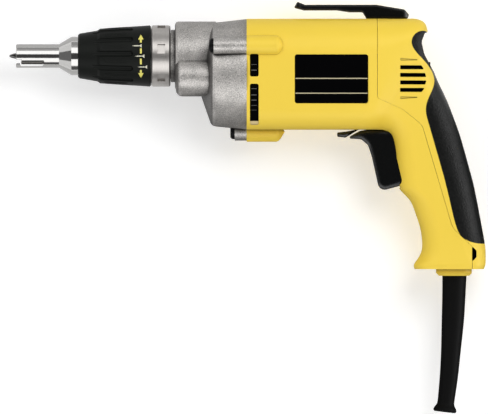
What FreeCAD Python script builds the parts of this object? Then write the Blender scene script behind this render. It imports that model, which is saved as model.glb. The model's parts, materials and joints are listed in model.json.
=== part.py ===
import FreeCAD, Part
import math
import os

V = FreeCAD.Vector

# Driving dimensions in millimetres. The spindle axis is the X axis, with the nose face at X = 0 and the
# handle below. X runs to the rear and Y to the right-hand side of the user.

# Lengths along the spindle axis, front to rear
NOSE_LENGTH = 27.7
CONE_LENGTH = 8.0
FLANGE_LENGTH = 4.0
COLLAR_LENGTH = 46.9
RING_LENGTH = 12.2
NECK_LENGTH = 2.7
BOSS_LENGTH = 22.3
DRUM_LENGTH = 23.8

# Clearances
GAP = 0.3
RUN_FIT = 0.05
SEAT_GAP = 0.2

# Nosepiece
NOSE_RADIUS = 7.65
NOSE_BORE = 6.2
FLANGE_RADIUS = 12.45
LOCATOR_TUBE_RADIUS = 11.9
LOCATOR_TUBE_BORE = 9.5
DEPTH_TRAVEL = 3.0
SLEEVE_WALL = 2.2
COLLAR_FRONT_RADIUS = 14.45
COLLAR_STEP_X = 12.4
COLLAR_RADIUS = 19.75
COLLAR_GROOVES = 12
GROOVE_PHASE = -4.0
GROOVE_RADIUS = 1.9
RING_NOTCHES = 6
SNOUT_RADIUS = 15.0
NECK_RADIUS = 16.85

# Bit and spindle
BIT_REACH = 4.2
BIT_LENGTH = 25.4
HEX_FLATS = 6.35
HOLDER_RADIUS = 5.4
HOLDER_X = 3.2
SPINDLE_RADIUS = 6.0
SPINDLE_X = 46.0
SPINDLE_TRAVEL = 2.8
TAIL_RADIUS = 4.0
DOG_HEIGHT = 2.0
DOG_COUNT = 3
DOG_ANGLE = 48.0
CLUTCH_RADIUS = 11.0

# Gears
GEAR_MODULE = 0.6
PINION_TEETH = 7
GEAR_TEETH = 33
GEAR_WIDTH = 9.0
PRESSURE_ANGLE = 20.0
TOOTH_SHIFT = 0.45
BACKLASH = 0.15
PINION_TIP_RELIEF = 0.22
GEAR_TIP_RELIEF = 0.1

# Gear case
BOSS_RADIUS = 22.2
DRUM_LIP = 1.8
DRUM_TAPER = 2.3
BUMP_HALF_WIDTH = 28.0
BUMP_RADIUS = 12.1
DRUM_WALL = 4.8
PLATE_THICKNESS = 11.0
WASHER_THICKNESS = 1.0
CASE_SCREW_OFFSET = 1.0
CASE_SCREW_RADIUS = 2.4
CASE_SCREW_HEAD = 4.7
CASE_LUG_RADIUS = 5.6

# Motor
SHAFT_RADIUS = 5.0
FRONT_JOURNAL = 4.0
REAR_JOURNAL = 3.5
FAN_MARGIN = 2.7
FAN_BLADES = 18
CORE_START = 19.7
CORE_LENGTH = 38.0
CORE_RADIUS = 16.8
ARMATURE_SLOTS = 12
AIR_GAP = 0.5
POLE_HEIGHT = 8.7
SHOE_THICKNESS = 3.7
FIELD_YOKE = 5.0
COMMUTATOR_RADIUS = 11.0
COMMUTATOR_BARS = 24
FRONT_BEARING_RADIUS = 11.0
FRONT_BEARING_WIDTH = 7.0
FRONT_BALL_CIRCLE = 7.25
REAR_BEARING_RADIUS = 9.5
REAR_BEARING_WIDTH = 6.0
REAR_BALL_CIRCLE = 6.3
BALL_RADIUS = 1.9
BALL_COUNT = 7
BOOT_WALL = 1.5
SPRING_STEPS = 12

# Housing and handle
WALL = 2.8
COVER_WALL = 5.0
GRIP_THICKNESS = 2.2
SEAM = 0.25
BARREL_CROWN = 1.8
BARREL_SOLE = 1.3
BARREL_TOP_CORNER = 21.0
BARREL_LOW_CORNER = 13.0
HANDLE_LEAD = 79.5
HANDLE_HALF_WIDTH = 18.5
HANDLE_DROP = 89.7
HOUSING_LUG_RADIUS = 6.4
PANEL_MARGIN = 8.7
PANEL_HEIGHT = 31.0
PANEL_THICKNESS = 1.0
PANEL_PROUD = 0.2
HOOK_HALF_WIDTH = 11.0
VENT_RIB = 2.0

# Controls and cord entry
TRIGGER_HALF_WIDTH = 10.5
TRIGGER_TRAVEL = 6.5
TRIGGER_TILT = 12.0
TRIGGER_EDGE = 0.8
LEVER_HALF_WIDTH = 4.5
SWITCH_HALF_WIDTH = 11.0
CORD_BORE = 4.2
CORD_DROP = 84.0
CORD_SLANT = 0.121

# Beyond every outline, for cutters
FAR = 100.0

# Positions that follow from the lengths
CONE_X = NOSE_LENGTH
FLANGE_X = CONE_X + CONE_LENGTH
COLLAR_X = FLANGE_X + FLANGE_LENGTH + SEAT_GAP
COLLAR_END = COLLAR_X + COLLAR_LENGTH
RING_X = COLLAR_END + GAP
RING_END = RING_X + RING_LENGTH
NECK_X = RING_END + SEAT_GAP
CASE_X = NECK_X + NECK_LENGTH
DRUM_X = CASE_X + BOSS_LENGTH
HOUSING_X = DRUM_X + DRUM_LENGTH
MOTOR_Z = -GEAR_MODULE * (PINION_TEETH + GEAR_TEETH) / 2
PLATE_X = HOUSING_X - PLATE_THICKNESS
GEAR_END = PLATE_X - WASHER_THICKNESS - SEAT_GAP
GEAR_X = GEAR_END - GEAR_WIDTH
CLUTCH_END = GEAR_X - GAP
CLUTCH_X = CLUTCH_END - 2.2
DOG_TIP_X = CLUTCH_X - SEAT_GAP - SPINDLE_TRAVEL
SPINDLE_FLANGE_END = DOG_TIP_X - DOG_HEIGHT
SPINDLE_FLANGE_X = SPINDLE_FLANGE_END - 3.0
BUSH_END = SPINDLE_FLANGE_X - GAP - 4.0
BEARING_X = HOUSING_X - FRONT_BEARING_WIDTH
FAN_X = HOUSING_X + 1.7
BAFFLE_X = FAN_X + 8.5
CORE_X = HOUSING_X + CORE_START
CORE_END = CORE_X + CORE_LENGTH
COMMUTATOR_X = CORE_END + 7.0
COMMUTATOR_END = COMMUTATOR_X + 12.0
BRUSH_PLATE_X = COMMUTATOR_END - 0.2
BRUSH_PLATE_END = BRUSH_PLATE_X + 3.0
REAR_BEARING_X = BRUSH_PLATE_END + 0.2
FRONT_BEARING = (BEARING_X, FRONT_BEARING_WIDTH)
REAR_BEARING = (REAR_BEARING_X, REAR_BEARING_WIDTH)
BRUSH_X = COMMUTATOR_X + 6.0
FIELD_RADIUS = CORE_RADIUS + AIR_GAP
FIELD_BORE = FIELD_RADIUS + POLE_HEIGHT
BARREL_HALF_WIDTH = FIELD_BORE + FIELD_YOKE + SEAT_GAP + WALL
BARREL_TOP = MOTOR_Z + BARREL_HALF_WIDTH + BARREL_CROWN
BARREL_BOTTOM = MOTOR_Z - BARREL_HALF_WIDTH - BARREL_SOLE
BASE_Z = BARREL_BOTTOM - HANDLE_DROP
DRUM_RADIUS = BARREL_HALF_WIDTH + DRUM_LIP
PLATE_RADIUS = DRUM_RADIUS - DRUM_WALL
CASE_SCREW_CIRCLE = DRUM_RADIUS + CASE_SCREW_OFFSET
FAN_RADIUS = BARREL_HALF_WIDTH - WALL - FAN_MARGIN
PANEL_LENGTH = CORE_LENGTH + PANEL_MARGIN
PANEL_BED = -BARREL_HALF_WIDTH + PANEL_THICKNESS - PANEL_PROUD
HANDLE_X = BRUSH_PLATE_END - HANDLE_LEAD
HANDLE_SCREWS = ((HANDLE_X + 108.3, BARREL_BOTTOM - 53.1), (HANDLE_X + 112.1, BARREL_BOTTOM - 65.7))
HANDLE_SCREW_END = HANDLE_X + 142.0
CLAMP_X = HANDLE_X + 122.0
CLAMP_Z = BASE_Z + 8.5
CLAMP_SCREW_Y = 9.5
CLAMP_SCREW_Z = CLAMP_Z + 3.5
HOOK_SCREW_X = HANDLE_X + 90.0
SWITCH_X = HANDLE_X + 112.2
LEVER_PIVOT_X = HANDLE_X + 84.0
TRIGGER_REAR_X = SWITCH_X - TRIGGER_TRAVEL - 1.0
CORD_X = HANDLE_X + 133.6
CORD_LEAN = V(-CORD_SLANT, 0, -math.sqrt(1 - CORD_SLANT ** 2))
SLEEVE_BORE = LOCATOR_TUBE_RADIUS + GAP
SLEEVE_RADIUS = SLEEVE_BORE + SLEEVE_WALL
COLLAR_BORE = SLEEVE_RADIUS + GAP
RING_BORE = SNOUT_RADIUS + SEAT_GAP
SLEEVE_X = COLLAR_X + DEPTH_TRAVEL + 5.0
LUG_X = COLLAR_X + 24.0
HEX_CORNER = HEX_FLATS / 2 / math.cos(math.pi / 6)


def rod(radius, x0, x1, y=0.0, z=0.0):
    """A round bar along X."""
    return Part.makeCylinder(radius, x1 - x0, V(x0, y, z), V(1, 0, 0))


def tube(outer, inner, x0, x1, y=0.0, z=0.0):
    """A round tube along X."""
    return rod(outer, x0, x1, y, z).cut(rod(inner, x0 - 1, x1 + 1, y, z))


def block(x0, x1, y0, y1, z0, z1):
    """A box given by its six limits."""
    return Part.makeBox(x1 - x0, y1 - y0, z1 - z0, V(x0, y0, z0))


def hex_bar(flats, x0, x1):
    """A hexagonal bar along the spindle axis."""
    corner = flats / 2 / math.cos(math.pi / 6)
    turns = [math.radians(60 * k) for k in range(7)]
    points = [V(x0, corner * math.cos(t), corner * math.sin(t)) for t in turns]
    return Part.Face(Part.makePolygon(points)).extrude(V(x1 - x0, 0, 0))


def turned(profile, z=0.0):
    """A solid turned about an X-parallel axis from (x, radius) points."""
    points = [V(x, 0, z + r) for x, r in profile]
    face = Part.Face(Part.makePolygon(points + points[:1]))
    return face.revolve(V(0, 0, z), V(1, 0, 0), 360)


def outline(corners, place):
    """A closed wire of straight runs whose (u, v, radius) corners are rounded."""
    ends = []
    for n, (u, v, radius) in enumerate(corners):
        before = V(*corners[n - 1][:2], 0) - V(u, v, 0)
        after = V(*corners[(n + 1) % len(corners)][:2], 0) - V(u, v, 0)
        before.normalize()
        after.normalize()
        half = before.getAngle(after) / 2
        corner = V(u, v, 0)
        reach = radius / math.tan(half)
        middle = before + after
        middle.normalize()
        bend = corner + middle * (radius / math.sin(half) - radius)
        ends.append((corner + before * reach, bend, corner + after * reach, radius))
    edges = []
    for n, (start, bend, end, radius) in enumerate(ends):
        if radius:
            edges.append(Part.Arc(place(start), place(bend), place(end)).toShape())
        follow = ends[(n + 1) % len(ends)][0]
        if (follow - end).Length > 1e-6:
            edges.append(Part.LineSegment(place(end), place(follow)).toShape())
    return Part.Wire(edges)


def side_plate(corners, y0, y1):
    """A plate seen from the side: (x, z, radius) corners, from y0 to y1."""
    wire = outline(corners, lambda p: V(p.x, y0, p.y))
    return Part.Face(wire).extrude(V(0, y1 - y0, 0))


def plan_plate(corners, z0, z1):
    """A plate seen from above: (x, y, radius) corners, from z0 to z1."""
    wire = outline(corners, lambda p: V(p.x, p.y, z0))
    return Part.Face(wire).extrude(V(0, 0, z1 - z0))


def round_pattern(shape, count, z=0.0, start=0.0):
    """Copies of a shape turned about an X-parallel axis."""
    copies = []
    for k in range(count):
        turned_copy = shape.copy()
        turned_copy.rotate(V(0, 0, z), V(1, 0, 0), start + 360.0 * k / count)
        copies.append(turned_copy)
    return copies


def mirrored(shape):
    """The shape and its mirror image across the mid plane."""
    return [shape, shape.mirror(V(0, 0, 0), V(0, 1, 0))]


def coil(radius, wire_radius, turns, start, length, direction):
    """A compression spring from start along direction, skinned over rings along its helix."""
    count = SPRING_STEPS * turns
    rise = length / turns / (2 * math.pi * radius)
    rings = []
    for n in range(count + 1):
        angle = 2 * math.pi * n / SPRING_STEPS
        outward = V(math.cos(angle), math.sin(angle), 0)
        onward = V(-math.sin(angle), math.cos(angle), rise)
        onward.normalize()
        centre = outward * radius + V(0, 0, length * n / count)
        rings.append(circle_ring(centre, onward, wire_radius, outward))
    spring = skinned(rings)
    spring.Placement = FreeCAD.Placement(start, FreeCAD.Rotation(V(0, 0, 1), direction))
    return spring


def involute(angle):
    """The involute function of an angle in radians."""
    return math.tan(angle) - angle


def spur_gear(teeth, shift, tip, x0, x1, z, turn):
    """A spur gear with involute flanks on an X-parallel axis, one tooth centred at turn degrees."""
    pressure = math.radians(PRESSURE_ANGLE)
    pitch = GEAR_MODULE * teeth / 2
    base = pitch * math.cos(pressure)
    root = pitch + GEAR_MODULE * (shift - 1.25)
    tooth = GEAR_MODULE * (math.pi / 2 + 2 * shift * math.tan(pressure)) - BACKLASH
    half_tooth = tooth / (2 * pitch) + involute(pressure)

    def at(radius, angle):
        return V(x0, radius * math.sin(angle), z + radius * math.cos(angle))

    edges = []
    flank_start = max(base, root)
    radii = [flank_start + (tip - flank_start) * k / 5 for k in range(6)]
    halves = [half_tooth - involute(math.acos(min(1.0, base / r))) for r in radii]
    for k in range(teeth):
        middle = math.radians(turn) + 2 * math.pi * k / teeth
        step = 2 * math.pi / teeth
        rising = [at(r, middle - h) for r, h in zip(radii, halves)]
        falling = [at(r, middle + h) for r, h in zip(radii, halves)][::-1]
        next_start = at(root, middle + step - halves[0])
        foot_a, foot_b = at(root, middle - halves[0]), at(root, middle + halves[0])
        if flank_start > root:
            edges.append(Part.LineSegment(foot_a, rising[0]).toShape())
        for flank in (rising, falling):
            curve = Part.BSplineCurve()
            curve.interpolate(flank)
            edges.append(curve.toShape())
            if flank is rising:
                edges.append(Part.LineSegment(rising[-1], falling[0]).toShape())
        if flank_start > root:
            edges.append(Part.LineSegment(falling[-1], foot_b).toShape())
        edges.append(Part.LineSegment(foot_b, next_start).toShape())
    return Part.Face(Part.Wire(edges)).extrude(V(x1 - x0, 0, 0))


# Skinned solids: rings of control points joined by splines

ARC = 4.0 / 3.0 * math.tan(math.pi / 8)
ARC_EIGHTH = 4.0 / 3.0 * math.tan(math.pi / 16)


def section_ring(half, length, r_in, r_out, inset, place):
    """Control points of a rounded section: four straights and four corner arcs as cubic runs."""
    low, high, side = inset, length - inset, half - inset
    ri, ro = max(r_in - inset, 2.0), max(r_out - inset, 2.0)
    corners = [(side, low, ri, V(-1, 0, 0), V(0, 1, 0)), (side, high, ro, V(0, -1, 0), V(-1, 0, 0)),
               (-side, high, ro, V(1, 0, 0), V(0, -1, 0)), (-side, low, ri, V(0, 1, 0), V(1, 0, 0))]
    runs = []
    for n, (u, v, r, back, on) in enumerate(corners):
        corner = V(u, v, 0)
        runs += [corner + back * r, corner + back * r * (1 - ARC), corner + on * r * (1 - ARC)]
        u2, v2, r2, back2, _ = corners[(n + 1) % 4]
        start, end = corner + on * r, V(u2, v2, 0) + back2 * r2
        runs += [start, start + (end - start) / 3, start + (end - start) * 2 / 3]
    return [place(p.x, p.y) for p in runs]


def circle_ring(centre, direction, radius, across=V(0, 1, 0)):
    """Control points of a circle square to direction as eight cubic arcs, the first at across."""
    up = direction.cross(across)
    points = []
    for k in range(8):
        a, b = math.pi / 4 * k, math.pi / 4 * (k + 1)
        first = across * math.cos(a) + up * math.sin(a)
        last = across * math.cos(b) + up * math.sin(b)
        leave = up * math.cos(a) - across * math.sin(a)
        arrive = up * math.cos(b) - across * math.sin(b)
        for p in (first, first + leave * ARC_EIGHTH, last - arrive * ARC_EIGHTH):
            points.append(centre + p * radius)
    return points


def skinned(rings):
    """A solid through rings of 24 control points each, closed by flat ends."""
    steps = [0.0]
    for a, b in zip(rings, rings[1:]):
        steps.append(steps[-1] + sum((p - q).Length for p, q in zip(a, b)) / len(a))
    columns = []
    for j in range(24):
        curve = Part.BSplineCurve()
        curve.interpolate(Points=[ring[j] for ring in rings], Parameters=steps)
        columns.append(curve)
    knots, mults = columns[0].getKnots(), columns[0].getMultiplicities()
    poles = [curve.getPoles() for curve in columns]
    faces = []
    for s in range(8):
        strip = [poles[(3 * s + k) % 24] for k in range(4)]
        surface = Part.BSplineSurface()
        surface.buildFromPolesMultsKnots(strip, [4, 4], mults, [0.0, 1.0], knots, False, False, 3, 3)
        faces.append(surface.toShape())
    for ring in (rings[0], rings[-1]):
        edges = []
        for s in range(8):
            run = Part.BezierCurve()
            run.setPoles([ring[(3 * s + k) % 24] for k in range(4)])
            edges.append(run.toShape())
        faces.append(Part.Face(Part.Wire(edges)))
    shell = Part.makeShell(faces)
    shell.sewShape()
    solid = Part.makeSolid(shell)
    if solid.Volume < 0:
        solid.reverse()
    return solid


def housing_stations():
    """Sections of the housing from the barrel front round to the handle base.

    Each gives its inner and outer end in the side view (x from the handle datum, z), its half
    width and the corner radii at the inner and outer end.
    """
    w, t, b, h = BARREL_HALF_WIDTH, BARREL_TOP, BARREL_BOTTOM, HANDLE_HALF_WIDTH
    low, top = BARREL_LOW_CORNER, BARREL_TOP_CORNER
    front = HOUSING_X - HANDLE_X
    straight = 55.0
    starts = [front + (straight - front) * k / 3 for k in range(3)]
    return [(x, b, x, t, w, low, top) for x in starts] + [
        (straight, b, 57.0, t, w, low, top),
        (66.0, b, 74.0, t, w, low, top),
        (73.7, b, 89.7, t, w - 0.5, low, top - 0.5),
        (78.2, b, 101.7, t, w - 2.4, low - 0.5, top - 1.5),
        (80.7, b, 109.9, t - 0.3, w - 4.6, 12.0, top - 3.5),
        (82.5, b, 114.7, t - 3.3, w - 6.6, 12.0, 15.5),
        (83.9, b - 0.1, 116.5, t - 9.8, w - 8.4, 12.0, 14.5),
        (85.7, b - 0.2, 117.3, t - 17.8, h + 5.5, 12.0, 14.0),
        (88.6, b - 0.7, 118.9, b + 41.8, h + 3.5, 12.0, 14.0),
        (91.5, b - 1.9, 123.0, b + 30.7, h + 2.1, 12.0, 14.0),
        (93.5, b - 5.0, 128.0, b + 20.3, h + 1.1, 12.0, 14.5),
        (94.6, b - 9.7, 132.2, b + 9.9, h + 0.4, 12.0, 15.0),
        (95.3, b - 15.0, 136.6, b - 2.1, h + 0.1, 12.0, 16.0),
        (96.0, b - 22.7, 141.7, b - 19.7, h, 12.0, 16.0),
        (97.2, b - 31.7, 145.0, b - 31.7, h, 12.0, 16.0),
        (98.0, b - 37.5, 146.4, b - 37.5, h, 12.0, 16.0),
        (100.9, b - 41.1, 147.1, b - 41.1, h, 12.0, 16.0),
        (104.9, b - 45.4, 148.0, b - 45.4, h, 12.0, 16.0),
        (108.0, b - 52.2, 149.3, b - 52.2, h - 0.1, 12.0, 16.0),
        (111.2, b - 61.7, 151.1, b - 61.7, h - 0.1, 12.0, 16.0),
        (112.9, b - 72.7, 153.0, b - 72.7, h + 0.1, 12.0, 15.0),
        (112.3, b - 78.7, 153.6, b - 78.7, h + 0.5, 12.0, 14.0),
        (109.6, b - 83.7, 153.6, b - 83.7, h + 1.1, 12.0, 12.0),
        (107.6, b - 87.2, 153.3, b - 87.2, h + 1.5, 11.0, 11.0),
        (108.1, BASE_Z, 152.3, BASE_Z, h + 1.3, 11.0, 11.0),
    ]


def station_place(start, along):
    """A map from a section's own coordinates (across, along) to space."""
    return lambda u, v: start + along * v + V(0, u, 0)


def housing_body(inset=0.0, front=0.0):
    """The outer shape of barrel and handle, or the same drawn in by an inset."""
    rings = []
    stations = housing_stations()
    for n, (xi, zi, xo, zo, half, r_in, r_out) in enumerate(stations):
        start = V(HANDLE_X + xi, 0, zi)
        along = V(xo - xi, 0, zo - zi)
        length = along.Length
        along.normalize()
        if n == 0:
            start.x -= front
        if n == len(stations) - 1:
            start.z += inset
        rings.append(section_ring(half, length, r_in, r_out, inset, station_place(start, along)))
    return skinned(rings)


def rear_recess(shift):
    """The hollow behind the thumb web, moved forward by shift."""
    x, t, low = HANDLE_X - shift, BARREL_TOP, BARREL_BOTTOM + 37.8
    return side_plate([(x + 118.6, t - 7.6, 0), (x + 114.4, t - 9.2, 1.0), (x + 112.1, t - 15.0, 6.0),
                       (x + 114.0, t - 22.8, 12.0), (x + 119.8, low, 0), (x + 150.0, low, 0),
                       (x + 150.0, t - 7.6, 0)], -FAR, FAR)


def trigger_notch(shift):
    """The space in front of the handle that the trigger stands in, moved in by shift."""
    x, z = HANDLE_X + shift, BARREL_BOTTOM - 0.1 + shift
    return side_plate([(x + 60.0, z, 0), (x + 91.4, z, 7.0), (x + 94.4, z - 9.5, 12.0),
                       (x + 100.0, z - 33.6, 3.5), (x + 95.0, z - 39.0, 0), (x + 60.0, z - 39.0, 0)],
                      -FAR, FAR)


def splined_region(points, tail):
    """A region behind a smooth front edge: (x, z) points from the handle datum, then a tail of corners."""
    curve = Part.BSplineCurve()
    curve.interpolate([V(HANDLE_X + x, -FAR, z) for x, z in points])
    far = [V(HANDLE_X + x, -FAR, z) for x, z in (points[-1],) + tail + (points[0],)]
    wire = Part.Wire([curve.toShape()] + Part.makePolygon(far).Edges)
    return Part.Face(wire).extrude(V(0, 2 * FAR, 0))


def grip_region():
    """Everything behind the front edge of the rubber grip."""
    t, b, behind = BARREL_TOP, BARREL_BOTTOM, 200.0
    edge = [(117.0, t - 9.4), (111.1, t - 8.1), (106.9, t - 11.2), (105.8, t - 15.9), (108.2, t - 20.8),
            (114.2, b + 43.8), (118.9, b + 37.2), (120.5, b + 31.2), (119.5, b + 26.4), (115.9, b + 18.0),
            (115.0, b + 12.0), (116.5, b + 4.9), (121.0, b - 10.7), (126.1, b - 28.7), (130.6, b - 46.7),
            (134.5, b - 62.2), (137.2, b - 67.9), (144.7, b - 72.4), (156.0, b - 72.9)]
    return splined_region(edge, ((behind, edge[-1][1]), (behind, edge[0][1])))


def cover_region(shift):
    """Everything behind the seam of the rear cover, with the seam moved forward by shift."""
    x, b, behind = HANDLE_X - shift, BARREL_BOTTOM, HANDLE_X + 220.0
    return side_plate([(x + 83.9, FAR, 0), (x + 83.9, b + 20.1, 2.0), (x + 100.3, b + 12.9, 12.0),
                       (x + 112.8, b + 2.8, 8.0), (x + 132.3, b - 63.2, 12.0), (x + 144.9, b - 75.2, 1.0),
                       (x + 145.2, BASE_Z - FAR, 0), (behind, BASE_Z - FAR, 0), (behind, FAR, 0)], -FAR, FAR)


def case_screw_places():
    """Axes (y, z, head face x) of the three long screws round the motor axis."""
    places = []
    for angle, head in ((30.0, DRUM_X + 2.6), (150.0, DRUM_X + 2.6), (270.0, HOUSING_X - 7.7)):
        turn = math.radians(angle)
        y, z = CASE_SCREW_CIRCLE * math.cos(turn), MOTOR_Z + CASE_SCREW_CIRCLE * math.sin(turn)
        places.append((y, z, head))
    return places


def nose_locator():
    """The nose tube that meets the board, with its lugs in the collar."""
    profile = [(0, NOSE_BORE), (0, NOSE_RADIUS - 0.5), (0.5, NOSE_RADIUS), (CONE_X, NOSE_RADIUS),
               (FLANGE_X, FLANGE_RADIUS), (FLANGE_X + FLANGE_LENGTH, FLANGE_RADIUS),
               (FLANGE_X + FLANGE_LENGTH, LOCATOR_TUBE_RADIUS), (LUG_X + 6, LOCATOR_TUBE_RADIUS),
               (LUG_X + 6, LOCATOR_TUBE_BORE), (FLANGE_X, LOCATOR_TUBE_BORE), (CONE_X + 3, NOSE_BORE)]
    body = turned(profile)
    lug = block(LUG_X, LUG_X + 4, -2, 2, LOCATOR_TUBE_BORE + 0.5, SLEEVE_RADIUS + 0.9)
    body = body.fuse(round_pattern(lug, 2))
    window = side_plate([(2.6, -2.0, 1.2), (18.2, -2.0, 2.0), (18.2, -6.5, 2.0), (2.6, -6.5, 1.2)], -20, 20)
    mouth = side_plate([(-1, -2.2, 0), (4.0, -2.2, 0), (4.0, -4.8, 0), (-1, -4.8, 0)], -20, 20)
    return body.cut(window).cut(mouth)


def depth_collar():
    """The depth collar with its finger grooves and the channel that the locator's lugs run in."""
    step = COLLAR_X + COLLAR_STEP_X
    front_bore = FLANGE_RADIUS + GAP + 0.1
    channel = SLEEVE_RADIUS + 0.9 + GAP
    profile = [(COLLAR_X, front_bore), (COLLAR_X, COLLAR_FRONT_RADIUS - 1.0),
               (COLLAR_X + 1.0, COLLAR_FRONT_RADIUS), (step, COLLAR_FRONT_RADIUS + 1.9),
               (step + 1.7, COLLAR_FRONT_RADIUS + 3.15), (COLLAR_END - 0.8, COLLAR_RADIUS - 0.05),
               (COLLAR_END, COLLAR_RADIUS - 0.8), (COLLAR_END, COLLAR_BORE + 3.0),
               (COLLAR_END - 2.4, COLLAR_BORE + 3.0), (COLLAR_END - 2.4, COLLAR_BORE),
               (LUG_X + 4 + DEPTH_TRAVEL + 1, COLLAR_BORE), (LUG_X + 4 + DEPTH_TRAVEL + 1, channel),
               (LUG_X - DEPTH_TRAVEL - 1, channel), (LUG_X - DEPTH_TRAVEL - 1, COLLAR_BORE),
               (SLEEVE_X - 0.5, COLLAR_BORE), (SLEEVE_X - 0.5, front_bore)]
    body = turned(profile)
    start = V(step - 2.2, 0, COLLAR_FRONT_RADIUS + 3.0)
    run = V(COLLAR_LENGTH / 2, 0, 1.35)
    lead = run * (GROOVE_RADIUS / run.Length)
    groove = Part.makeCylinder(GROOVE_RADIUS, run.Length + 2 * GROOVE_RADIUS, start - lead, run)
    rims = [e for e in groove.Edges if isinstance(e.Curve, Part.Circle)]
    groove = groove.makeFillet(0.9 * GROOVE_RADIUS, rims)
    return body.cut(round_pattern(groove, COLLAR_GROOVES, 0.0, GROOVE_PHASE))


def nosepiece_ring():
    """The steel ring that snaps on the gear case, with the sleeve inside the collar."""
    shoulder = RING_X + 1.0
    profile = [(SLEEVE_X, SLEEVE_BORE), (SLEEVE_X, SLEEVE_RADIUS), (RING_X, SLEEVE_RADIUS),
               (RING_X, COLLAR_RADIUS - 0.8), (RING_X + 0.8, COLLAR_RADIUS), (RING_END - 0.8, COLLAR_RADIUS),
               (RING_END, COLLAR_RADIUS - 0.8), (RING_END, RING_BORE), (RING_X + 6.9, RING_BORE),
               (RING_X + 6.9, RING_BORE + 1.2), (RING_X + 5.1, RING_BORE + 1.2), (RING_X + 5.1, RING_BORE),
               (shoulder, RING_BORE), (shoulder, SLEEVE_BORE)]
    body = turned(profile)
    slot = block(LUG_X - DEPTH_TRAVEL - 1, LUG_X + 4 + DEPTH_TRAVEL + 1, -2.3, 2.3, 0, SLEEVE_RADIUS + 1)
    notch = block(RING_X + 3.9, RING_X + 8.9, -3.1, 3.1, COLLAR_RADIUS - 1.5, COLLAR_RADIUS + 2)
    return body.cut(round_pattern(slot, 2)).cut(round_pattern(notch, RING_NOTCHES, 0.0, 17.0))


def nosepiece_oring():
    """The rubber ring that holds the nosepiece on the snout."""
    middle = RING_BORE + 0.55
    circle = Part.Wire(Part.makeCircle(0.6, V(RING_X + 6.0, 0, middle), V(0, 1, 0)))
    return Part.Face(circle).revolve(V(0, 0, 0), V(1, 0, 0), 360)


def detent_ring():
    """The ring that the collar turns against."""
    return tube(COLLAR_BORE + 2.7, COLLAR_BORE + 0.4, COLLAR_END - 2.1, RING_X)


def bit_tip():
    """The cross-recess insert bit."""
    shank = hex_bar(HEX_FLATS, HOLDER_X + 0.3, BIT_LENGTH - BIT_REACH)
    tip = turned([(-BIT_REACH, 0), (-BIT_REACH, 0.7), (1.2, 2.5), (HOLDER_X - 0.5, 2.5),
                  (HOLDER_X + 0.3, HEX_FLATS / 2), (HOLDER_X + 0.3, 0)])
    flute = block(-BIT_REACH - 1, 6.0, 0.45, 5, 0.45, 5)
    flute.rotate(V(6.0, 0, 0), V(0, 0, 1), -3.0)
    return tip.cut(round_pattern(flute, 4, 0.0, 45.0)).fuse(shank)


def bit_holder():
    """The magnetic bit holder."""
    sleeve = turned([(HOLDER_X, 0), (HOLDER_X, HOLDER_RADIUS - 0.5), (HOLDER_X + 0.5, HOLDER_RADIUS),
                     (33.0, HOLDER_RADIUS), (33.5, HEX_CORNER), (33.5, 0)])
    shank = hex_bar(HEX_FLATS, 33.0, SPINDLE_X + 20.5)
    groove = tube(6.0, 2.6, SPINDLE_X + 5.8, SPINDLE_X + 8.6)
    magnet_x = BIT_LENGTH - BIT_REACH
    socket = hex_bar(HEX_FLATS + 0.06, HOLDER_X - 1, magnet_x)
    return sleeve.fuse(shank).cut(groove).cut(socket).cut(rod(2.9, magnet_x - 0.5, magnet_x + 3.4))


def bit_magnet():
    """The magnet behind the bit."""
    start = BIT_LENGTH - BIT_REACH
    return rod(2.88, start, start + 3.4)


def bit_ball():
    """The ball that keeps the holder in the spindle."""
    return Part.makeSphere(1.55, V(SPINDLE_X + 7.2, 0, 4.2))


def bit_ring():
    """The spring ring over the ball."""
    return tube(SPINDLE_RADIUS + 0.5, SPINDLE_RADIUS - 0.2, SPINDLE_X + 6.0, SPINDLE_X + 8.4)


def spindle():
    """The spindle with its clutch dogs."""
    body = turned([(SPINDLE_X, 0), (SPINDLE_X, SPINDLE_RADIUS - 0.6), (SPINDLE_X + 0.6, SPINDLE_RADIUS),
                   (SPINDLE_FLANGE_X, SPINDLE_RADIUS), (SPINDLE_FLANGE_X, CLUTCH_RADIUS),
                   (SPINDLE_FLANGE_END, CLUTCH_RADIUS), (SPINDLE_FLANGE_END, TAIL_RADIUS),
                   (PLATE_X + 0.2, TAIL_RADIUS), (PLATE_X + 0.2, 0)])
    dog = dog_sector(SPINDLE_FLANGE_END - 0.5, DOG_TIP_X)
    body = body.fuse(round_pattern(dog, DOG_COUNT))
    body = body.cut(hex_bar(HEX_FLATS + 0.1, SPINDLE_X - 1, SPINDLE_X + 20.8))
    groove = tube(SPINDLE_RADIUS + 1, SPINDLE_RADIUS - 0.22, SPINDLE_X + 5.9, SPINDLE_X + 8.5)
    hole = Part.makeCylinder(1.6, SPINDLE_RADIUS + 1, V(SPINDLE_X + 7.2, 0, 0), V(0, 0, 1))
    return body.cut(groove).cut(hole)


def dog_sector(x0, x1):
    """One clutch dog: a sector of a ring."""
    inner = 7.4
    ring_face = Part.Face(Part.makePolygon([V(x0, 0, inner), V(x1, 0, inner), V(x1, 0, CLUTCH_RADIUS),
                                            V(x0, 0, CLUTCH_RADIUS), V(x0, 0, inner)]))
    sector = ring_face.revolve(V(0, 0, 0), V(1, 0, 0), DOG_ANGLE)
    sector.rotate(V(0, 0, 0), V(1, 0, 0), -DOG_ANGLE / 2)
    return sector


def clutch_plate():
    """The clutch plate that the gear drives."""
    plate = tube(CLUTCH_RADIUS, TAIL_RADIUS + RUN_FIT, CLUTCH_X, CLUTCH_END)
    dog = dog_sector(CLUTCH_X - DOG_HEIGHT, CLUTCH_X + 0.5)
    return plate.fuse(round_pattern(dog, DOG_COUNT, 0.0, 180.0 / DOG_COUNT))


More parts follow.
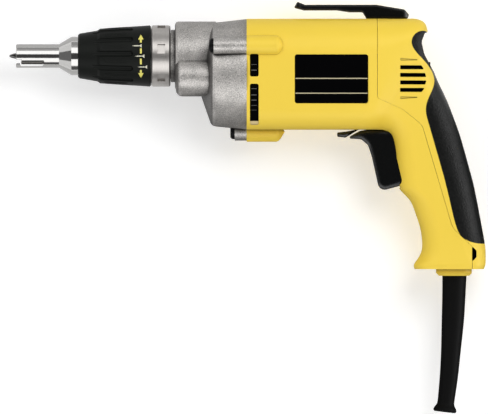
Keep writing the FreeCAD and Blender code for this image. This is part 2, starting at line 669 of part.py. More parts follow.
def clutch_spring():
    """The spring that parts the clutch."""
    wire = 0.45
    length = CLUTCH_X - SPINDLE_FLANGE_END - 2 * wire - 0.2
    return coil(5.4, wire, 3, V(SPINDLE_FLANGE_END + wire + 0.1, 0, 0), length, V(1, 0, 0))


def drive_gear():
    """The large gear on the spindle's tail."""
    tip = GEAR_MODULE * (GEAR_TEETH / 2 + 1 - TOOTH_SHIFT) - GEAR_TIP_RELIEF
    gear = spur_gear(GEAR_TEETH, -TOOTH_SHIFT, tip, GEAR_X, GEAR_END, 0.0, 180.0)
    return gear.cut(rod(TAIL_RADIUS + RUN_FIT, GEAR_X - 1, GEAR_END + 1))


def thrust_washer():
    """The washer behind the gear."""
    return tube(8.0, TAIL_RADIUS + GAP, GEAR_END + SEAT_GAP, PLATE_X)


def spindle_seal():
    """The felt seal at the front of the bush."""
    return tube(8.5, SPINDLE_RADIUS + RUN_FIT, NECK_X - 11.2, NECK_X - 8.2)


def spindle_bush():
    """The bronze bush of the spindle."""
    return tube(8.5, SPINDLE_RADIUS + RUN_FIT, NECK_X - 8.2, BUSH_END)


def thrust_bearing():
    """The thrust ring in front of the spindle's flange."""
    return tube(CLUTCH_RADIUS, SPINDLE_RADIUS + 0.2, BUSH_END, SPINDLE_FLANGE_X - GAP)


def gear_case():
    """The cast gear case: snout, boss, motor bump and drum."""
    boss = turned([(CASE_X, 0), (CASE_X, BOSS_RADIUS - 2.0), (CASE_X + 0.6, BOSS_RADIUS - 0.6),
                   (CASE_X + 2.0, BOSS_RADIUS), (DRUM_X + 4, BOSS_RADIUS), (DRUM_X + 4, 0)])
    snout = rod(SNOUT_RADIUS, NECK_X - 11.2, CASE_X + 1)
    neck = rod(NECK_RADIUS, NECK_X, CASE_X + 1)
    wide, low = BUMP_HALF_WIDTH, MOTOR_Z - 1.8
    bend = BUMP_RADIUS - 0.1
    corners = [(-wide, low - BUMP_RADIUS, bend), (wide, low - BUMP_RADIUS, bend),
               (wide, low + BUMP_RADIUS, bend), (-wide, low + BUMP_RADIUS, bend)]
    bump_face = outline(corners, lambda p: V(CASE_X + 0.6, p.x, p.y))
    bump = Part.Face(bump_face).extrude(V(BOSS_LENGTH + 3, 0, 0))
    bump = bump.makeFillet(4.0, [e for e in bump.Edges if e.BoundBox.XMax < CASE_X + 0.7])
    front = DRUM_RADIUS - DRUM_TAPER
    drum = turned([(DRUM_X - 5.2, 0), (DRUM_X - 5.2, front - 18.9), (DRUM_X, front - 4.0),
                   (DRUM_X + 0.7, front - 2.0), (DRUM_X + 2.0, front - 0.6),
                   (DRUM_X + 3.6, front), (HOUSING_X, DRUM_RADIUS), (HOUSING_X, 0)], MOTOR_Z)
    body = drum.fuse([boss, snout, neck, bump])
    for y, z, face in case_screw_places():
        body = body.fuse(rod(CASE_LUG_RADIUS, face, HOUSING_X, y, z))
        body = body.cut(rod(CASE_SCREW_HEAD + 0.5, face - 26, face, y, z))
        body = body.cut(rod(CASE_SCREW_RADIUS + 0.1, face - 1, HOUSING_X + 1, y, z))
    body = body.cut(rod(8.5, NECK_X - 12, BUSH_END, 0, 0))
    body = body.cut(rod(CLUTCH_RADIUS + 0.4, BUSH_END, PLATE_X, 0, 0))
    body = body.cut(rod(5.0, GEAR_X - 3, PLATE_X, 0, MOTOR_Z))
    return body.cut(rod(PLATE_RADIUS, PLATE_X, HOUSING_X + 1, 0, MOTOR_Z))


def gear_plate():
    """The plate between gears and motor."""
    plate = rod(PLATE_RADIUS, PLATE_X, HOUSING_X, 0, MOTOR_Z)
    plate = plate.cut(rod(FRONT_BEARING_RADIUS, BEARING_X, HOUSING_X + 1, 0, MOTOR_Z))
    plate = plate.cut(rod(FRONT_JOURNAL + GAP, PLATE_X - 1, HOUSING_X, 0, MOTOR_Z))
    pocket_end = PLATE_X + 0.2 + SPINDLE_TRAVEL + 0.3
    return plate.cut(rod(TAIL_RADIUS + RUN_FIT, PLATE_X - 1, pocket_end))


def case_screws():
    """The three long screws through the gear case."""
    screws = []
    for y, z, face in case_screw_places():
        head = turned([(face - 2.8, 0), (face - 2.8, 3.6), (face - 1.6, CASE_SCREW_HEAD),
                       (face, CASE_SCREW_HEAD), (face, 0)])
        head.translate(V(0, y, z))
        socket = hex_bar(4.0, face - 3.8, face - 1.1)
        socket.translate(V(0, y, z))
        screws.append(head.cut(socket).fuse(rod(CASE_SCREW_RADIUS, face - 0.5, HOUSING_X + 16.5, y, z)))
    return Part.makeCompound(screws)


def armature_shaft():
    """The motor shaft."""
    return turned([(PLATE_X - 0.4, 0), (PLATE_X - 0.4, FRONT_JOURNAL), (HOUSING_X, FRONT_JOURNAL),
                   (HOUSING_X, SHAFT_RADIUS), (REAR_BEARING_X, SHAFT_RADIUS), (REAR_BEARING_X, REAR_JOURNAL),
                   (REAR_BEARING_X + 6.2, REAR_JOURNAL), (REAR_BEARING_X + 6.2, 0)], MOTOR_Z)


def drive_pinion():
    """The pinion cut on the shaft's front end."""
    tip = GEAR_MODULE * (PINION_TEETH / 2 + 1 + TOOTH_SHIFT) - PINION_TIP_RELIEF
    return spur_gear(PINION_TEETH, TOOTH_SHIFT, tip, GEAR_X, PLATE_X - 0.4, MOTOR_Z, 180.0 / PINION_TEETH)


def armature_core():
    """The slotted armature stack."""
    core = tube(CORE_RADIUS, SHAFT_RADIUS, CORE_X, CORE_END, 0, MOTOR_Z)
    slot = block(CORE_X - 1, CORE_END + 1, -1.5, 1.5, MOTOR_Z + 9.0, MOTOR_Z + CORE_RADIUS - 1.2)
    mouth = block(CORE_X - 1, CORE_END + 1, -0.7, 0.7, MOTOR_Z + 9.0, MOTOR_Z + CORE_RADIUS + 1)
    return core.cut(round_pattern(slot.fuse(mouth), ARMATURE_SLOTS, MOTOR_Z))


def armature_windings():
    """The armature coils with their end turns."""
    r = CORE_RADIUS - 1.6
    front = turned([(CORE_X, SHAFT_RADIUS + 0.1), (CORE_X - 5.5, SHAFT_RADIUS + 0.1), (CORE_X - 5.5, r - 4),
                    (CORE_X - 4.0, r - 1), (CORE_X - 1.5, r), (CORE_X, r)], MOTOR_Z)
    rear = turned([(CORE_END, SHAFT_RADIUS + 0.1), (CORE_END + 5.5, SHAFT_RADIUS + 0.1),
                   (CORE_END + 5.5, r - 4), (CORE_END + 4.0, r - 1), (CORE_END + 1.5, r),
                   (CORE_END, r)], MOTOR_Z)
    bar = block(CORE_X - 0.5, CORE_END + 0.5, -1.4, 1.4, MOTOR_Z + 9.1, MOTOR_Z + r - 0.1)
    return front.fuse([rear] + round_pattern(bar, ARMATURE_SLOTS, MOTOR_Z))


def commutator():
    """The commutator with its bars and riser."""
    body = tube(COMMUTATOR_RADIUS, SHAFT_RADIUS, COMMUTATOR_X, COMMUTATOR_END - 0.5, 0, MOTOR_Z)
    riser = tube(COMMUTATOR_RADIUS + 1.2, SHAFT_RADIUS, COMMUTATOR_X - 1.4, COMMUTATOR_X + 1.0, 0, MOTOR_Z)
    top = MOTOR_Z + COMMUTATOR_RADIUS
    cut = block(COMMUTATOR_X - 2, COMMUTATOR_END, -0.25, 0.25, top - 1.0, top + 9.0)
    return body.fuse(riser).cut(round_pattern(cut, COMMUTATOR_BARS, MOTOR_Z))


def cooling_fan():
    """The fan on the shaft."""
    back = FAN_X + 7.5
    hub = tube(9.0, SHAFT_RADIUS, FAN_X, back, 0, MOTOR_Z)
    disc = turned([(back - 1.4, 8.0), (back - 1.4, FAN_RADIUS), (back, FAN_RADIUS), (back, 8.0)], MOTOR_Z)
    blade = block(FAN_X, back - 1.0, -0.6, 0.6, MOTOR_Z + 12.0, MOTOR_Z + FAN_RADIUS - 0.2)
    blade.rotate(V(0, 0, MOTOR_Z + 20.0), V(1, 0, 0), 14.0)
    trim = rod(FAN_RADIUS, FAN_X - 1, back + 1, 0, MOTOR_Z)
    return hub.fuse([disc] + round_pattern(blade.common(trim), FAN_BLADES, MOTOR_Z))


def bearing_outer(x0, width, outer, middle):
    """A ball bearing's outer race."""
    race = tube(outer, outer - 2.1, x0, x0 + width, 0, MOTOR_Z)
    return race.cut(bearing_track(x0 + width / 2, middle))


def bearing_inner(x0, width, inner, middle):
    """A ball bearing's inner race."""
    race = tube(inner + 1.5, inner, x0, x0 + width, 0, MOTOR_Z)
    return race.cut(bearing_track(x0 + width / 2, middle))


def bearing_track(x, middle):
    """The ring that the balls run in, with a running fit."""
    circle = Part.Wire(Part.makeCircle(BALL_RADIUS + RUN_FIT, V(x, 0, MOTOR_Z + middle), V(0, 1, 0)))
    return Part.Face(circle).revolve(V(0, 0, MOTOR_Z), V(1, 0, 0), 360)


def bearing_balls(x0, width, middle):
    """The balls between the races."""
    ball = Part.makeSphere(BALL_RADIUS, V(x0 + width / 2, 0, MOTOR_Z + middle))
    return Part.makeCompound(round_pattern(ball, BALL_COUNT, MOTOR_Z))


def slab(x0, x1):
    """A slice of the room inside the housing's wall."""
    return block(x0, x1, -FAR, FAR, -FAR, FAR).common(housing_body(WALL + SEAT_GAP))


def field_core():
    """The field stack with its two poles."""
    stack = slab(CORE_X, CORE_END).cut(rod(FIELD_BORE, CORE_X - 1, CORE_END + 1, 0, MOTOR_Z))
    shoe_top = FIELD_RADIUS + SHOE_THICKNESS
    shoe = pole_sector(CORE_X, CORE_END, FIELD_RADIUS, shoe_top, 50.0)
    neck = pole_sector(CORE_X, CORE_END, shoe_top - 0.5, FIELD_BORE + 0.5, 30.0)
    return stack.fuse(round_pattern(shoe.fuse(neck), 2, MOTOR_Z))


def pole_sector(x0, x1, inner, outer, half_angle):
    """A ring sector about the motor axis, centred straight up."""
    face = Part.Face(Part.makePolygon([V(x0, 0, MOTOR_Z + inner), V(x1, 0, MOTOR_Z + inner),
                                       V(x1, 0, MOTOR_Z + outer), V(x0, 0, MOTOR_Z + outer),
                                       V(x0, 0, MOTOR_Z + inner)]))
    sector = face.revolve(V(0, 0, MOTOR_Z), V(1, 0, 0), 2 * half_angle)
    sector.rotate(V(0, 0, MOTOR_Z), V(1, 0, 0), -half_angle)
    return sector


def field_coils():
    """The two field coils round the pole necks."""
    inner, outer = FIELD_RADIUS + SHOE_THICKNESS + GAP, FIELD_BORE - 0.4
    loop = pole_sector(CORE_X - 6.0, CORE_END + 6.0, inner, outer, 62.0)
    loop = loop.cut(pole_sector(CORE_X - GAP, CORE_END + GAP, inner - 1, outer + 1, 31.0))
    return Part.makeCompound(round_pattern(loop, 2, MOTOR_Z))


def fan_baffle():
    """The sheet that turns the fan's air out of the front slots."""
    end = BAFFLE_X + 1.5
    sheet = slab(BAFFLE_X, end).cut(rod(20.0, BAFFLE_X - 1, end + 1, 0, MOTOR_Z))
    for y, z, _ in case_screw_places():
        sheet = sheet.cut(rod(HOUSING_LUG_RADIUS + SEAT_GAP, BAFFLE_X - 1, end + 1, y, z))
    return sheet


def brush_plate():
    """The plate behind the motor with the rear bearing's cup."""
    before, behind = BRUSH_PLATE_X - 1, BRUSH_PLATE_END + 1
    cup_bore = REAR_BEARING_RADIUS + BOOT_WALL
    cup = rod(cup_bore + 2.5, BRUSH_PLATE_END - 0.5, REAR_BEARING_X + 6.2, 0, MOTOR_Z)
    bore = rod(cup_bore, BRUSH_PLATE_END, REAR_BEARING_X + 7, 0, MOTOR_Z)
    hole = rod(SHAFT_RADIUS + 1.5, before, behind, 0, MOTOR_Z)
    lever_room = block(before, behind, -14, 14, BASE_Z, BARREL_BOTTOM + WALL + 3.5)
    body = slab(BRUSH_PLATE_X, BRUSH_PLATE_END).fuse(cup).cut(bore).cut(hole).cut(lever_room)
    for y in (-22.0, 22.0):
        for z in (MOTOR_Z - 17.0, MOTOR_Z + 17.0):
            body = body.cut(rod(5.5, before, behind, y, z))
    return body


def rear_bearing_boot():
    """The rubber boot round the rear bearing."""
    outer = REAR_BEARING_RADIUS + BOOT_WALL
    return tube(outer, REAR_BEARING_RADIUS, BRUSH_PLATE_END, REAR_BEARING_X + 6.0, 0, MOTOR_Z)


def brush_holders():
    """The two brush boxes."""
    box = block(BRUSH_X - 4.4, BRUSH_PLATE_X, 13.0, 27.0, MOTOR_Z - 5.4, MOTOR_Z + 5.4)
    well = block(BRUSH_X - 3.2, BRUSH_X + 3.2, 12.0, 26.0, MOTOR_Z - 4.2, MOTOR_Z + 4.2)
    return Part.makeCompound(mirrored(box.cut(well)))


def carbon_brushes():
    """The two brushes, shaped to the commutator."""
    brush = block(BRUSH_X - 3.1, BRUSH_X + 3.1, 8.0, 21.0, MOTOR_Z - 4.1, MOTOR_Z + 4.1)
    brush = brush.cut(rod(COMMUTATOR_RADIUS + GAP, BRUSH_X - 10, BRUSH_X + 10, 0, MOTOR_Z))
    return Part.makeCompound(mirrored(brush))


def brush_springs():
    """The springs behind the brushes."""
    spring = coil(2.4, 0.4, 4, V(BRUSH_X, 21.5, MOTOR_Z), 4.0, V(0, 1, 0))
    return Part.makeCompound(mirrored(spring))


def case_lugs(x0, x1):
    """The housing's three screw bosses."""
    return [rod(HOUSING_LUG_RADIUS, x0, x1, y, z) for y, z, _ in case_screw_places()]


def lug_tail(y, z):
    """The rounded run-out behind a screw boss."""
    start, r = CORE_X - 0.5, HOUSING_LUG_RADIUS
    tail = turned([(start - 1, 0), (start - 1, r), (start, r), (start + 1.6, r * 0.88),
                   (start + 3.0, r * 0.62), (start + 4.2, r * 0.28), (start + 5.4, 0)])
    tail.translate(V(0, y, z))
    return tail


def front_vents():
    """Cutters for the two fan slots on each side."""
    x0, x1, inside = HOUSING_X + 2.1, HOUSING_X + 7.7, BARREL_HALF_WIDTH - 12.0
    slots = []
    for low, high in ((MOTOR_Z - 1.5, MOTOR_Z + 13.0), (MOTOR_Z - 32.5, MOTOR_Z - 6.1)):
        corners = [(x0, low, 1.2), (x1, low, 1.2), (x1, high, 1.2), (x0, high, 1.2)]
        slots += mirrored(side_plate(corners, inside, FAR))
    return slots


def rear_vents():
    """Cutters for the four air slots on each side of the rear cover and the shallow lines beside them."""
    slots = []
    x0, b = HANDLE_X + 98.4, BARREL_BOTTOM
    rows = ((39.8, 14.6, 0.9), (34.9, 16.5, 0.4), (30.1, 16.6, -0.4), (25.3, 14.9, -1.1))
    for rise, reach, lean in rows:
        z = b + rise
        slots += mirrored(side_plate([(x0, z - 1.3, 0.5), (x0 + reach + lean, z - 1.3, 0.5),
                                      (x0 + reach - lean, z + 1.3, 0.5), (x0, z + 1.3, 0.5)], 9, FAR))
    for z, lean in ((b + 44.9, 1.0), (b + 20.3, -1.0)):
        shallow = side_plate([(x0, z - 0.9, 0.8), (x0 + 11, z - 0.3 - 0.3 * lean, 0.2),
                              (x0 + 11, z + 0.3 - 0.3 * lean, 0.2), (x0, z + 0.9, 0.8)], 0, FAR)
        slots += mirrored(shallow.cut(housing_body(0.8)))
    return slots


def motor_housing():
    """The barrel and handle front: one skinned shell with bosses, slots and the panel's bed."""
    b, x = BARREL_BOTTOM, HANDLE_X
    outer = housing_body().fuse([lug_tail(y, z) for y, z, _ in case_screw_places()])
    outer = outer.cut(trigger_notch(0.0)).fuse(cord_socket())
    shell = outer.cut(housing_body(WALL, 5.0).cut(trigger_notch(WALL)))
    inner = housing_body(1.0)
    pads = [rod(5.6, sx - 6, sx + 9, 0, sz).common(inner) for sx, sz in HANDLE_SCREWS]
    for y in (-CLAMP_SCREW_Y, CLAMP_SCREW_Y):
        pads.append(rod(3.2, CLAMP_X - 16, CLAMP_X, y, CLAMP_SCREW_Z).common(inner))
    rib = block(SWITCH_X + 1.5, SWITCH_X + 5.5, SWITCH_HALF_WIDTH + 0.1, FAR, b - 26.7, b - 10.7)
    shell = shell.fuse(case_lugs(HOUSING_X, CORE_X - 0.5) + pads + mirrored(rib.common(inner)))
    shell = shell.cut(cover_region(SEAM))
    w = TRIGGER_HALF_WIDTH + 0.5
    shell = shell.cut(block(x + 75.5, SWITCH_X, -w, w, b - 37.6, b + 6))
    shell = shell.cut(block(x + 68.0, x + 82.0, -9.5, 9.5, b - 2, b + 4))
    for y, z, _ in case_screw_places():
        shell = shell.cut(rod(CASE_SCREW_RADIUS + RUN_FIT, HOUSING_X - 1, HOUSING_X + 16.8, y, z))
    for sx, sz in HANDLE_SCREWS:
        shell = shell.cut(rod(3.7, sx - 9, sx + 3.0, 0, sz)).cut(rod(2.1, sx, sx + 12, 0, sz))
    for y in (-CLAMP_SCREW_Y, CLAMP_SCREW_Y):
        shell = shell.cut(rod(1.5, CLAMP_X - 6.2, CLAMP_X + 1, y, CLAMP_SCREW_Z))
    shell = shell.cut(Part.makeCylinder(7.9, 30, V(CORD_X, 0, BASE_Z - 15), V(0, 0, 1)))
    return shell.cut(front_vents()).cut(panel_plate(-FAR, PANEL_BED, SEAT_GAP))


def cord_socket():
    """The short collar under the handle that the cord protector comes out of."""
    x0, x1, w, low = HANDLE_X + 121.8, HANDLE_X + 144.9, 12.5, BASE_Z - 4.3
    socket = plan_plate([(x0, -w, 8), (x1, -w, 8), (x1, w, 8), (x0, w, 8)], low, BASE_Z + 3)
    return socket.makeChamfer(1.8, [e for e in socket.Edges if e.BoundBox.ZMax < low + 0.1])


def panel_plate(y0, y1, grow):
    """The outline of the name panel between two depths, grown by a clearance."""
    x1 = HANDLE_X + 77.7 + grow
    x0 = x1 - PANEL_LENGTH - 2 * grow
    z1 = MOTOR_Z + 12.5 + grow
    z0 = z1 - PANEL_HEIGHT - 2 * grow
    return side_plate([(x0, z0, 1.6), (x1, z0, 1.6), (x1, z1, 1.6), (x0, z1, 1.6)], y0, y1)


def name_panel():
    """The bare panel in the left wall."""
    return panel_plate(PANEL_BED - PANEL_THICKNESS, PANEL_BED, 0.0)


def handle_cover():
    """The rear cover under the rubber grip, with the hook's boss, air slots and screw bosses."""
    outer = housing_body().cut(rear_recess(0.0))
    under_grip = housing_body(GRIP_THICKNESS).cut(rear_recess(GRIP_THICKNESS))
    outer = outer.cut(grip_region().cut(under_grip))
    shell = outer.cut(housing_body(COVER_WALL, 5.0).cut(rear_recess(COVER_WALL)))
    inner = housing_body(3.0).cut(rear_recess(3.0))
    boss = Part.makeCylinder(4.5, 12, V(HOOK_SCREW_X, 0, BARREL_TOP - 13), V(0, 0, 1))
    vent_rib = block(HANDLE_X + 95, HANDLE_X + 130, -VENT_RIB / 2, VENT_RIB / 2,
                     BARREL_BOTTOM + 18, BARREL_BOTTOM + 48).common(inner)
    shell = shell.fuse([boss, vent_rib]).common(cover_region(0.0))
    pads = [rod(4.0, x + 15, HANDLE_SCREW_END + 8, 0, z).common(inner) for x, z in HANDLE_SCREWS]
    shell = shell.fuse(pads)
    for x, z in HANDLE_SCREWS:
        shell = shell.cut(rod(1.75, x + 10, HANDLE_SCREW_END - 3, 0, z))
    shell = shell.cut(Part.makeCylinder(1.9, 12, V(HOOK_SCREW_X, 0, BARREL_TOP - 11), V(0, 0, 1)))
    return shell.cut(rear_vents()).cut(foot_pockets())


def foot_pockets():
    """Cutters for the half-moon pocket on each side of the foot, open to the cover's seam."""
    x, z, floor = HANDLE_X + 145.0, BASE_Z + 5.6, 8.0
    corners = [(x - 2.0, z, 0), (x + 0.6, z, 0.5), (x + 2.6, z + 2.2, 1.5), (x + 2.6, z + 6.2, 1.5),
               (x + 0.6, z + 8.4, 0.5), (x - 2.0, z + 8.4, 0)]
    return mirrored(side_plate(corners, floor, FAR))


def rubber_grip():
    """The rubber grip over the cover."""
    outer = housing_body().cut(rear_recess(0.0))
    under = housing_body(GRIP_THICKNESS).cut(rear_recess(GRIP_THICKNESS))
    return outer.common(grip_region()).cut(under)


def handle_screws():
    """The two screws through the handle's front."""
    screws = []
    for x, z in HANDLE_SCREWS:
        head = turned([(x + 0.8, 0), (x + 0.8, 2.4), (x + 1.6, 3.4), (x + 3.0, 3.4), (x + 3.0, 0)])
        head.translate(V(0, 0, z))
        socket = hex_bar(3.0, x, x + 1.9)
        socket.translate(V(0, 0, z))
        screws.append(head.cut(socket).fuse(rod(1.7, x + 2.5, HANDLE_SCREW_END - 4, 0, z)))
    return Part.makeCompound(screws)


def belt_hook():
    """The belt hook: one bent bar on a screwed foot."""
    x, t, w = HANDLE_X, BARREL_TOP, HOOK_HALF_WIDTH
    side = side_plate([(x + 30.3, t + 7.2, 0.8), (x + 32.6, t + 11.0, 0.9), (x + 37.4, t + 9.0, 3.0),
                       (x + 83.3, t + 9.0, 6.0), (x + 101.4, t + 6.0, 2.5), (x + 104.6, t + 2.4, 2.0),
                       (x + 103.2, t + 0.1, 0), (x + 77.0, t + 0.1, 0), (x + 74.6, t + 4.3, 1.8),
                       (x + 66.0, t + 4.3, 6.0), (x + 58.0, t + 5.5, 6.0), (x + 36.8, t + 5.5, 3.0)], -w, w)
    plan = plan_plate([(x + 30.0, -w, 7.5), (x + 105.0, -w, 6.0), (x + 105.0, w, 6.0), (x + 30.0, w, 7.5)],
                      t, t + 12)
    hook = side.common(plan)
    hook = hook.cut(Part.makeCylinder(4.4, 12, V(HOOK_SCREW_X, 0, t + 4.4), V(0, 0, 1)))
    return hook.cut(Part.makeCylinder(2.2, 12, V(HOOK_SCREW_X, 0, t - 3.8), V(0, 0, 1)))


def belt_hook_screw():
    """The screw that holds the hook."""
    seat = BARREL_TOP + 4.4
    head = Part.makeCylinder(4.0, 2.6, V(HOOK_SCREW_X, 0, seat), V(0, 0, 1))
    shank = Part.makeCylinder(1.85, 16.5, V(HOOK_SCREW_X, 0, seat - 15.2), V(0, 0, 1))
    socket = Part.makeCylinder(1.7, 3, V(HOOK_SCREW_X, 0, seat + 1.0), V(0, 0, 1))
    return head.fuse(shank).cut(socket)


def switch_body():
    """The switch with the lever's pivot pin and the plunger's hole."""
    x, b, w = HANDLE_X, BARREL_BOTTOM, SWITCH_HALF_WIDTH
    body = side_plate([(x + 80.4, b + 4.3, 0.5), (SWITCH_X, b + 4.3, 0.5), (SWITCH_X, b - 34.7, 1.0),
                       (x + 133.0, b - 34.7, 1.5), (x + 119.0, b + 11.3, 1.5),
                       (x + 80.4, b + 11.3, 1.0)], -w, w)
    pin = Part.makeCylinder(1.8, 4.0, V(LEVER_PIVOT_X, 0, b + 1.3), V(0, 0, 1))
    hole = Part.makeCylinder(3.4, 16, plunger_start(SWITCH_X - 2), travel_direction())
    return body.fuse(pin).cut(hole)


def travel_direction():
    """The direction the trigger is pulled in."""
    tilt = math.radians(TRIGGER_TILT)
    return V(math.cos(tilt), 0, math.sin(tilt))


def plunger_start(x):
    """The point of the plunger's axis at a given x."""
    return V(x, 0, BARREL_BOTTOM - 18.7 + (x - SWITCH_X) * math.tan(math.radians(TRIGGER_TILT)))


def trigger():
    """The speed trigger with its plunger."""
    x, b, w, rear = HANDLE_X, BARREL_BOTTOM, TRIGGER_HALF_WIDTH, TRIGGER_REAR_X
    body = side_plate([(x + 64.1, b - 5.7, 0.9), (x + 72.6, b - 0.9, 2.0), (x + 77.0, b - 0.15, 2.0),
                       (rear - 4, b - 0.15, 2.0), (rear, b - 6.7, 2.0), (rear, b - 33.2, 2.0),
                       (x + 99.0, b - 36.1, 2.0), (x + 85.5, b - 39.8, 4.5), (x + 80.6, b - 17.7, 14.0),
                       (x + 78.2, b - 10.2, 5.0), (x + 73.8, b - 6.2, 5.0)], -w, w)
    body = body.makeFillet(TRIGGER_EDGE, [e for e in body.Edges if e.BoundBox.YLength < 0.01])
    plunger = Part.makeCylinder(3.0, 9.0, plunger_start(rear - 1), travel_direction())
    return body.fuse(plunger)


def reversing_lever():
    """The lever that turns the motor's direction."""
    x, b, w = HANDLE_X, BARREL_BOTTOM, LEVER_HALF_WIDTH
    side = side_plate([(x + 58.1, b - 1.9, 0.8), (x + 58.3, b - 4.7, 0.8), (x + 63.6, b - 5.2, 0.8),
                       (x + 71.6, b - 0.3, 1.0), (x + 77.5, b + 1.4, 1.0), (x + 88.0, b + 1.4, 0),
                       (x + 88.0, b + 4.0, 0), (x + 75.5, b + 4.0, 1.0), (x + 69.5, b - 0.2, 2.0),
                       (x + 64.0, b - 1.3, 2.0)], -w, w)
    plan = plan_plate([(x + 58.0, -w, 3.0), (x + 88.2, -w, 4.2), (x + 88.2, w, 4.2), (x + 58.0, w, 3.0)],
                      b - 13, b + 7)
    lever = side.common(plan)
    return lever.cut(Part.makeCylinder(1.85, 10, V(LEVER_PIVOT_X, 0, b - 2.7), V(0, 0, 1)))


def cord_path():
    """Centre, direction and radius of the cord protector from its flange to its flared end."""
    x, z = CORD_X, BASE_Z
    path = [(V(x, 0, z + WALL + 1.5), V(0, 0, -1), 7.8), (V(x, 0, z - 4.4), V(0, 0, -1), 7.8),
            (V(x - 0.2, 0, z - 12.0), V(-0.04, 0, -1), 7.6), (V(x - 1.0, 0, z - 32.4), V(-0.06, 0, -1), 7.2),
            (V(x - 2.2, 0, z - 51.4), V(-0.075, 0, -1), 6.4), (V(x - 3.7, 0, z - 70.4), V(-0.1, 0, -1), 5.85)]
    start = V(x - 5.3, 0, z - CORD_DROP)
    for reach, radius in ((0.0, 5.45), (3.6, 5.9), (6.0, 7.3), (7.4, 7.3), (8.0, 6.6)):
        path.append((start + CORD_LEAN * reach, CORD_LEAN, radius))
    return [(centre, direction / direction.Length, radius) for centre, direction, radius in path]


def cord_protector():
    """The tapered cord protector with its flange and bore."""
    path = cord_path()
    outer = skinned([circle_ring(centre, direction, radius) for centre, direction, radius in path])
    floor = BASE_Z + WALL
    flange = Part.makeCylinder(10.0, 3.0, V(CORD_X, 0, floor), V(0, 0, 1))
    bore_path = [(V(CORD_X, 0, floor + 4), V(0, 0, -1))] + [step[:2] for step in path[1:7]]
    bore_path.append((path[6][0] + CORD_LEAN, CORD_LEAN))
    bore = skinned([circle_ring(centre, direction, CORD_BORE - 0.1) for centre, direction in bore_path])
    straight = Part.makeCylinder(CORD_BORE, 12.0, path[6][0], CORD_LEAN)
    return outer.fuse(flange).cut(bore).cut(straight)


def cord_clamp():
    """The bar that clamps the cord."""
    bar = plan_plate([(CLAMP_X, -13, 1), (CLAMP_X + 6, -13, 1), (CLAMP_X + 6, 13, 1), (CLAMP_X, 13, 1)],
                     CLAMP_Z, CLAMP_Z + 7)
    bar = bar.cut(Part.makeCylinder(CORD_BORE, 20, V(CLAMP_X + 7.6, 0, CLAMP_Z - 5), V(0, 0, 1)))
    for y in (-CLAMP_SCREW_Y, CLAMP_SCREW_Y):
        bar = bar.cut(rod(1.6, CLAMP_X - 1, CLAMP_X + 8, y, CLAMP_SCREW_Z))
    return bar


def clamp_screws():
    """The two screws of the cord clamp."""
    screws = []
    for y in (-CLAMP_SCREW_Y, CLAMP_SCREW_Y):
        head = rod(2.8, CLAMP_X + 6, CLAMP_X + 7.8, y, CLAMP_SCREW_Z)
        screws.append(head.fuse(rod(1.45, CLAMP_X - 6, CLAMP_X + 6.5, y, CLAMP_SCREW_Z)))
    return Part.makeCompound(screws)


NODES = {
    "bit_tip": bit_tip,
    "bit_holder": bit_holder,
    "bit_magnet": bit_magnet,
    "bit_ball": bit_ball,
    "bit_ring": bit_ring,
    "spindle": spindle,
    "clutch_plate": clutch_plate,
    "clutch_spring": clutch_spring,
    "drive_gear": drive_gear,
    "thrust_washer": thrust_washer,
    "spindle_seal": spindle_seal,
    "spindle_bush": spindle_bush,
    "thrust_bearing": thrust_bearing,
    "gear_case": gear_case,
    "gear_plate": gear_plate,
    "case_screws": case_screws,
    "nose_locator": nose_locator,
    "depth_collar": depth_collar,
    "nosepiece_ring": nosepiece_ring,
    "nosepiece_oring": nosepiece_oring,
    "detent_ring": detent_ring,
    "armature_shaft": armature_shaft,
    "drive_pinion": drive_pinion,
    "armature_core": armature_core,
    "armature_windings": armature_windings,
    "commutator": commutator,
    "cooling_fan": cooling_fan,
    "front_bearing": lambda: bearing_outer(*FRONT_BEARING, FRONT_BEARING_RADIUS, FRONT_BALL_CIRCLE),
    "front_bearing_inner": lambda: bearing_inner(*FRONT_BEARING, FRONT_JOURNAL, FRONT_BALL_CIRCLE),
    "front_bearing_balls": lambda: bearing_balls(*FRONT_BEARING, FRONT_BALL_CIRCLE),
    "rear_bearing": lambda: bearing_outer(*REAR_BEARING, REAR_BEARING_RADIUS, REAR_BALL_CIRCLE),
    "rear_bearing_inner": lambda: bearing_inner(*REAR_BEARING, REAR_JOURNAL, REAR_BALL_CIRCLE),
    "rear_bearing_balls": lambda: bearing_balls(*REAR_BEARING, REAR_BALL_CIRCLE),
    "rear_bearing_boot": rear_bearing_boot,
    "field_core": field_core,
    "field_coils": field_coils,
    "fan_baffle": fan_baffle,
    "brush_plate": brush_plate,
    "brush_holders": brush_holders,
    "carbon_brushes": carbon_brushes,
    "brush_springs": brush_springs,
    "motor_housing": motor_housing,
    "handle_cover": handle_cover,
    "rubber_grip": rubber_grip,
    "handle_screws": handle_screws,
    "name_panel": name_panel,
    "belt_hook": belt_hook,
    "belt_hook_screw": belt_hook_screw,
    "switch_body": switch_body,
    "trigger": trigger,
    "reversing_lever": reversing_lever,
    "cord_protector": cord_protector,
    "cord_clamp": cord_clamp,
    "clamp_screws": clamp_screws,
}

os.makedirs("parts", exist_ok=True)
for name, make in NODES.items():
    make().exportStep("parts/" + name + ".step")
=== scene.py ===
import json
import math

